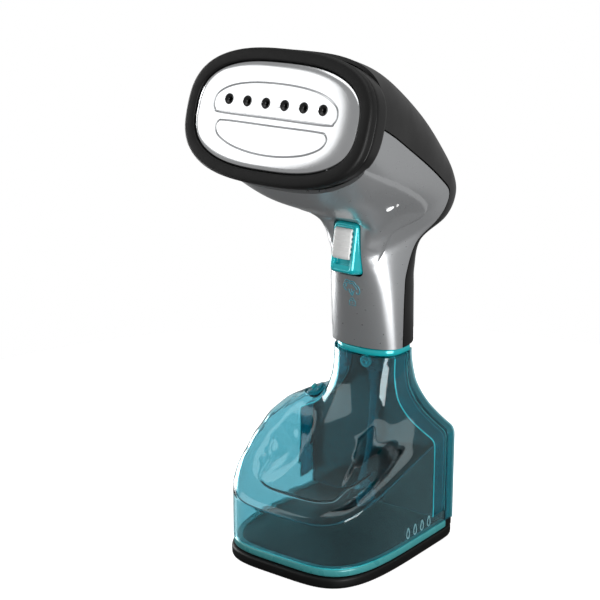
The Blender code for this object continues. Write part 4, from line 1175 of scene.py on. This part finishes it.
def makeFloorPaper():
    # matt white seamless paper, lit a little from within so that it meets the white behind it
    s = stageSettings
    paper = bpy.data.materials.new("floorPaper")
    paper.use_nodes = True
    paper.node_tree.nodes.remove(paper.node_tree.nodes["Principled BSDF"])
    dim = addNode(paper, "ShaderNodeBsdfDiffuse", {"Color": grey(s["floorDim"])})
    lit = addNode(paper, "ShaderNodeBsdfDiffuse", {"Color": grey(s["floorWhite"])})
    glow = addNode(paper, "ShaderNodeEmission", {"Color": grey(1), "Strength": s["floorGlow"]})
    both = addNode(paper, "ShaderNodeAddShader", links={0: lit.outputs[0], 1: glow.outputs[0]})
    pick = addNode(paper, "ShaderNodeMixShader",
                   links={0: plainSight(paper), 1: dim.outputs[0], 2: both.outputs[0]})
    paper.node_tree.links.new(pick.outputs[0], paper.node_tree.nodes["Material Output"].inputs["Surface"])
    return paper


def makeFloor():
    skin = bmesh.new()
    bmesh.ops.create_circle(skin, cap_ends=True, segments=96, radius=stageSettings["floorRadius"])
    mesh = bpy.data.meshes.new("floor")
    skin.to_mesh(mesh)
    skin.free()
    mesh.materials.append(makeFloorPaper())
    floor = bpy.data.objects.new("floor", mesh)
    bpy.context.scene.collection.objects.link(floor)


def makeSky():
    sky = bpy.data.worlds.new("studio")
    bpy.context.scene.world = sky
    sky.use_nodes = True
    air = sky.node_tree.nodes["Background"]
    air.inputs["Color"].default_value = grey(1)
    air.inputs["Strength"].default_value = stageSettings["skyGlow"]
    white = addNode(sky, "ShaderNodeBackground", {"Color": grey(1), "Strength": 1.0})
    mix = addNode(sky, "ShaderNodeMixShader",
                  links={0: plainSight(sky), 1: air.outputs[0], 2: white.outputs[0]})
    sky.node_tree.links.new(mix.outputs[0], sky.node_tree.nodes["World Output"].inputs["Surface"])


def makeLights():
    for name, place, aim, width, height, power in stageSettings["lights"]:
        lamp = bpy.data.lights.new(name, "AREA")
        lamp.shape = "RECTANGLE"
        lamp.size, lamp.size_y, lamp.energy = width, height, power
        light = bpy.data.objects.new(name, lamp)
        light.location = place
        light.rotation_euler = (Vector(aim) - Vector(place)).to_track_quat("-Z", "Y").to_euler()
        bpy.context.scene.collection.objects.link(light)


def makeCamera():
    s = stageSettings
    lens = bpy.data.cameras.new("camera")
    lens.lens, lens.sensor_width = s["focalLength"], s["sensorWidth"]
    camera = bpy.data.objects.new("camera", lens)
    camera.location = s["cameraPlace"]
    camera.rotation_euler = (radians(90 - s["lookDown"]), 0, radians(s["lookRound"]))
    bpy.context.scene.collection.objects.link(camera)
    bpy.context.scene.camera = camera
    bpy.context.scene.view_settings.view_transform = "Standard"


makeFloor()
makeSky()
makeLights()
makeCamera()
print("stage ready")
makeSteamPlate()
makeHeadRings()
print("steam head done")
frontShell = makeFrontShell()
makeRearCover()
print("shells done")
makeTrigger()
print("trigger done")
makeTankBowl()
makeTankRim()
makeTankBands()
makeNeckFittings()
print("tank done")
makeBase()
makeBackPanel()
makeMarks(frontShell)
makeReadyLight(frontShell)
finishKeptParts()
print("base, marks and kept parts done")
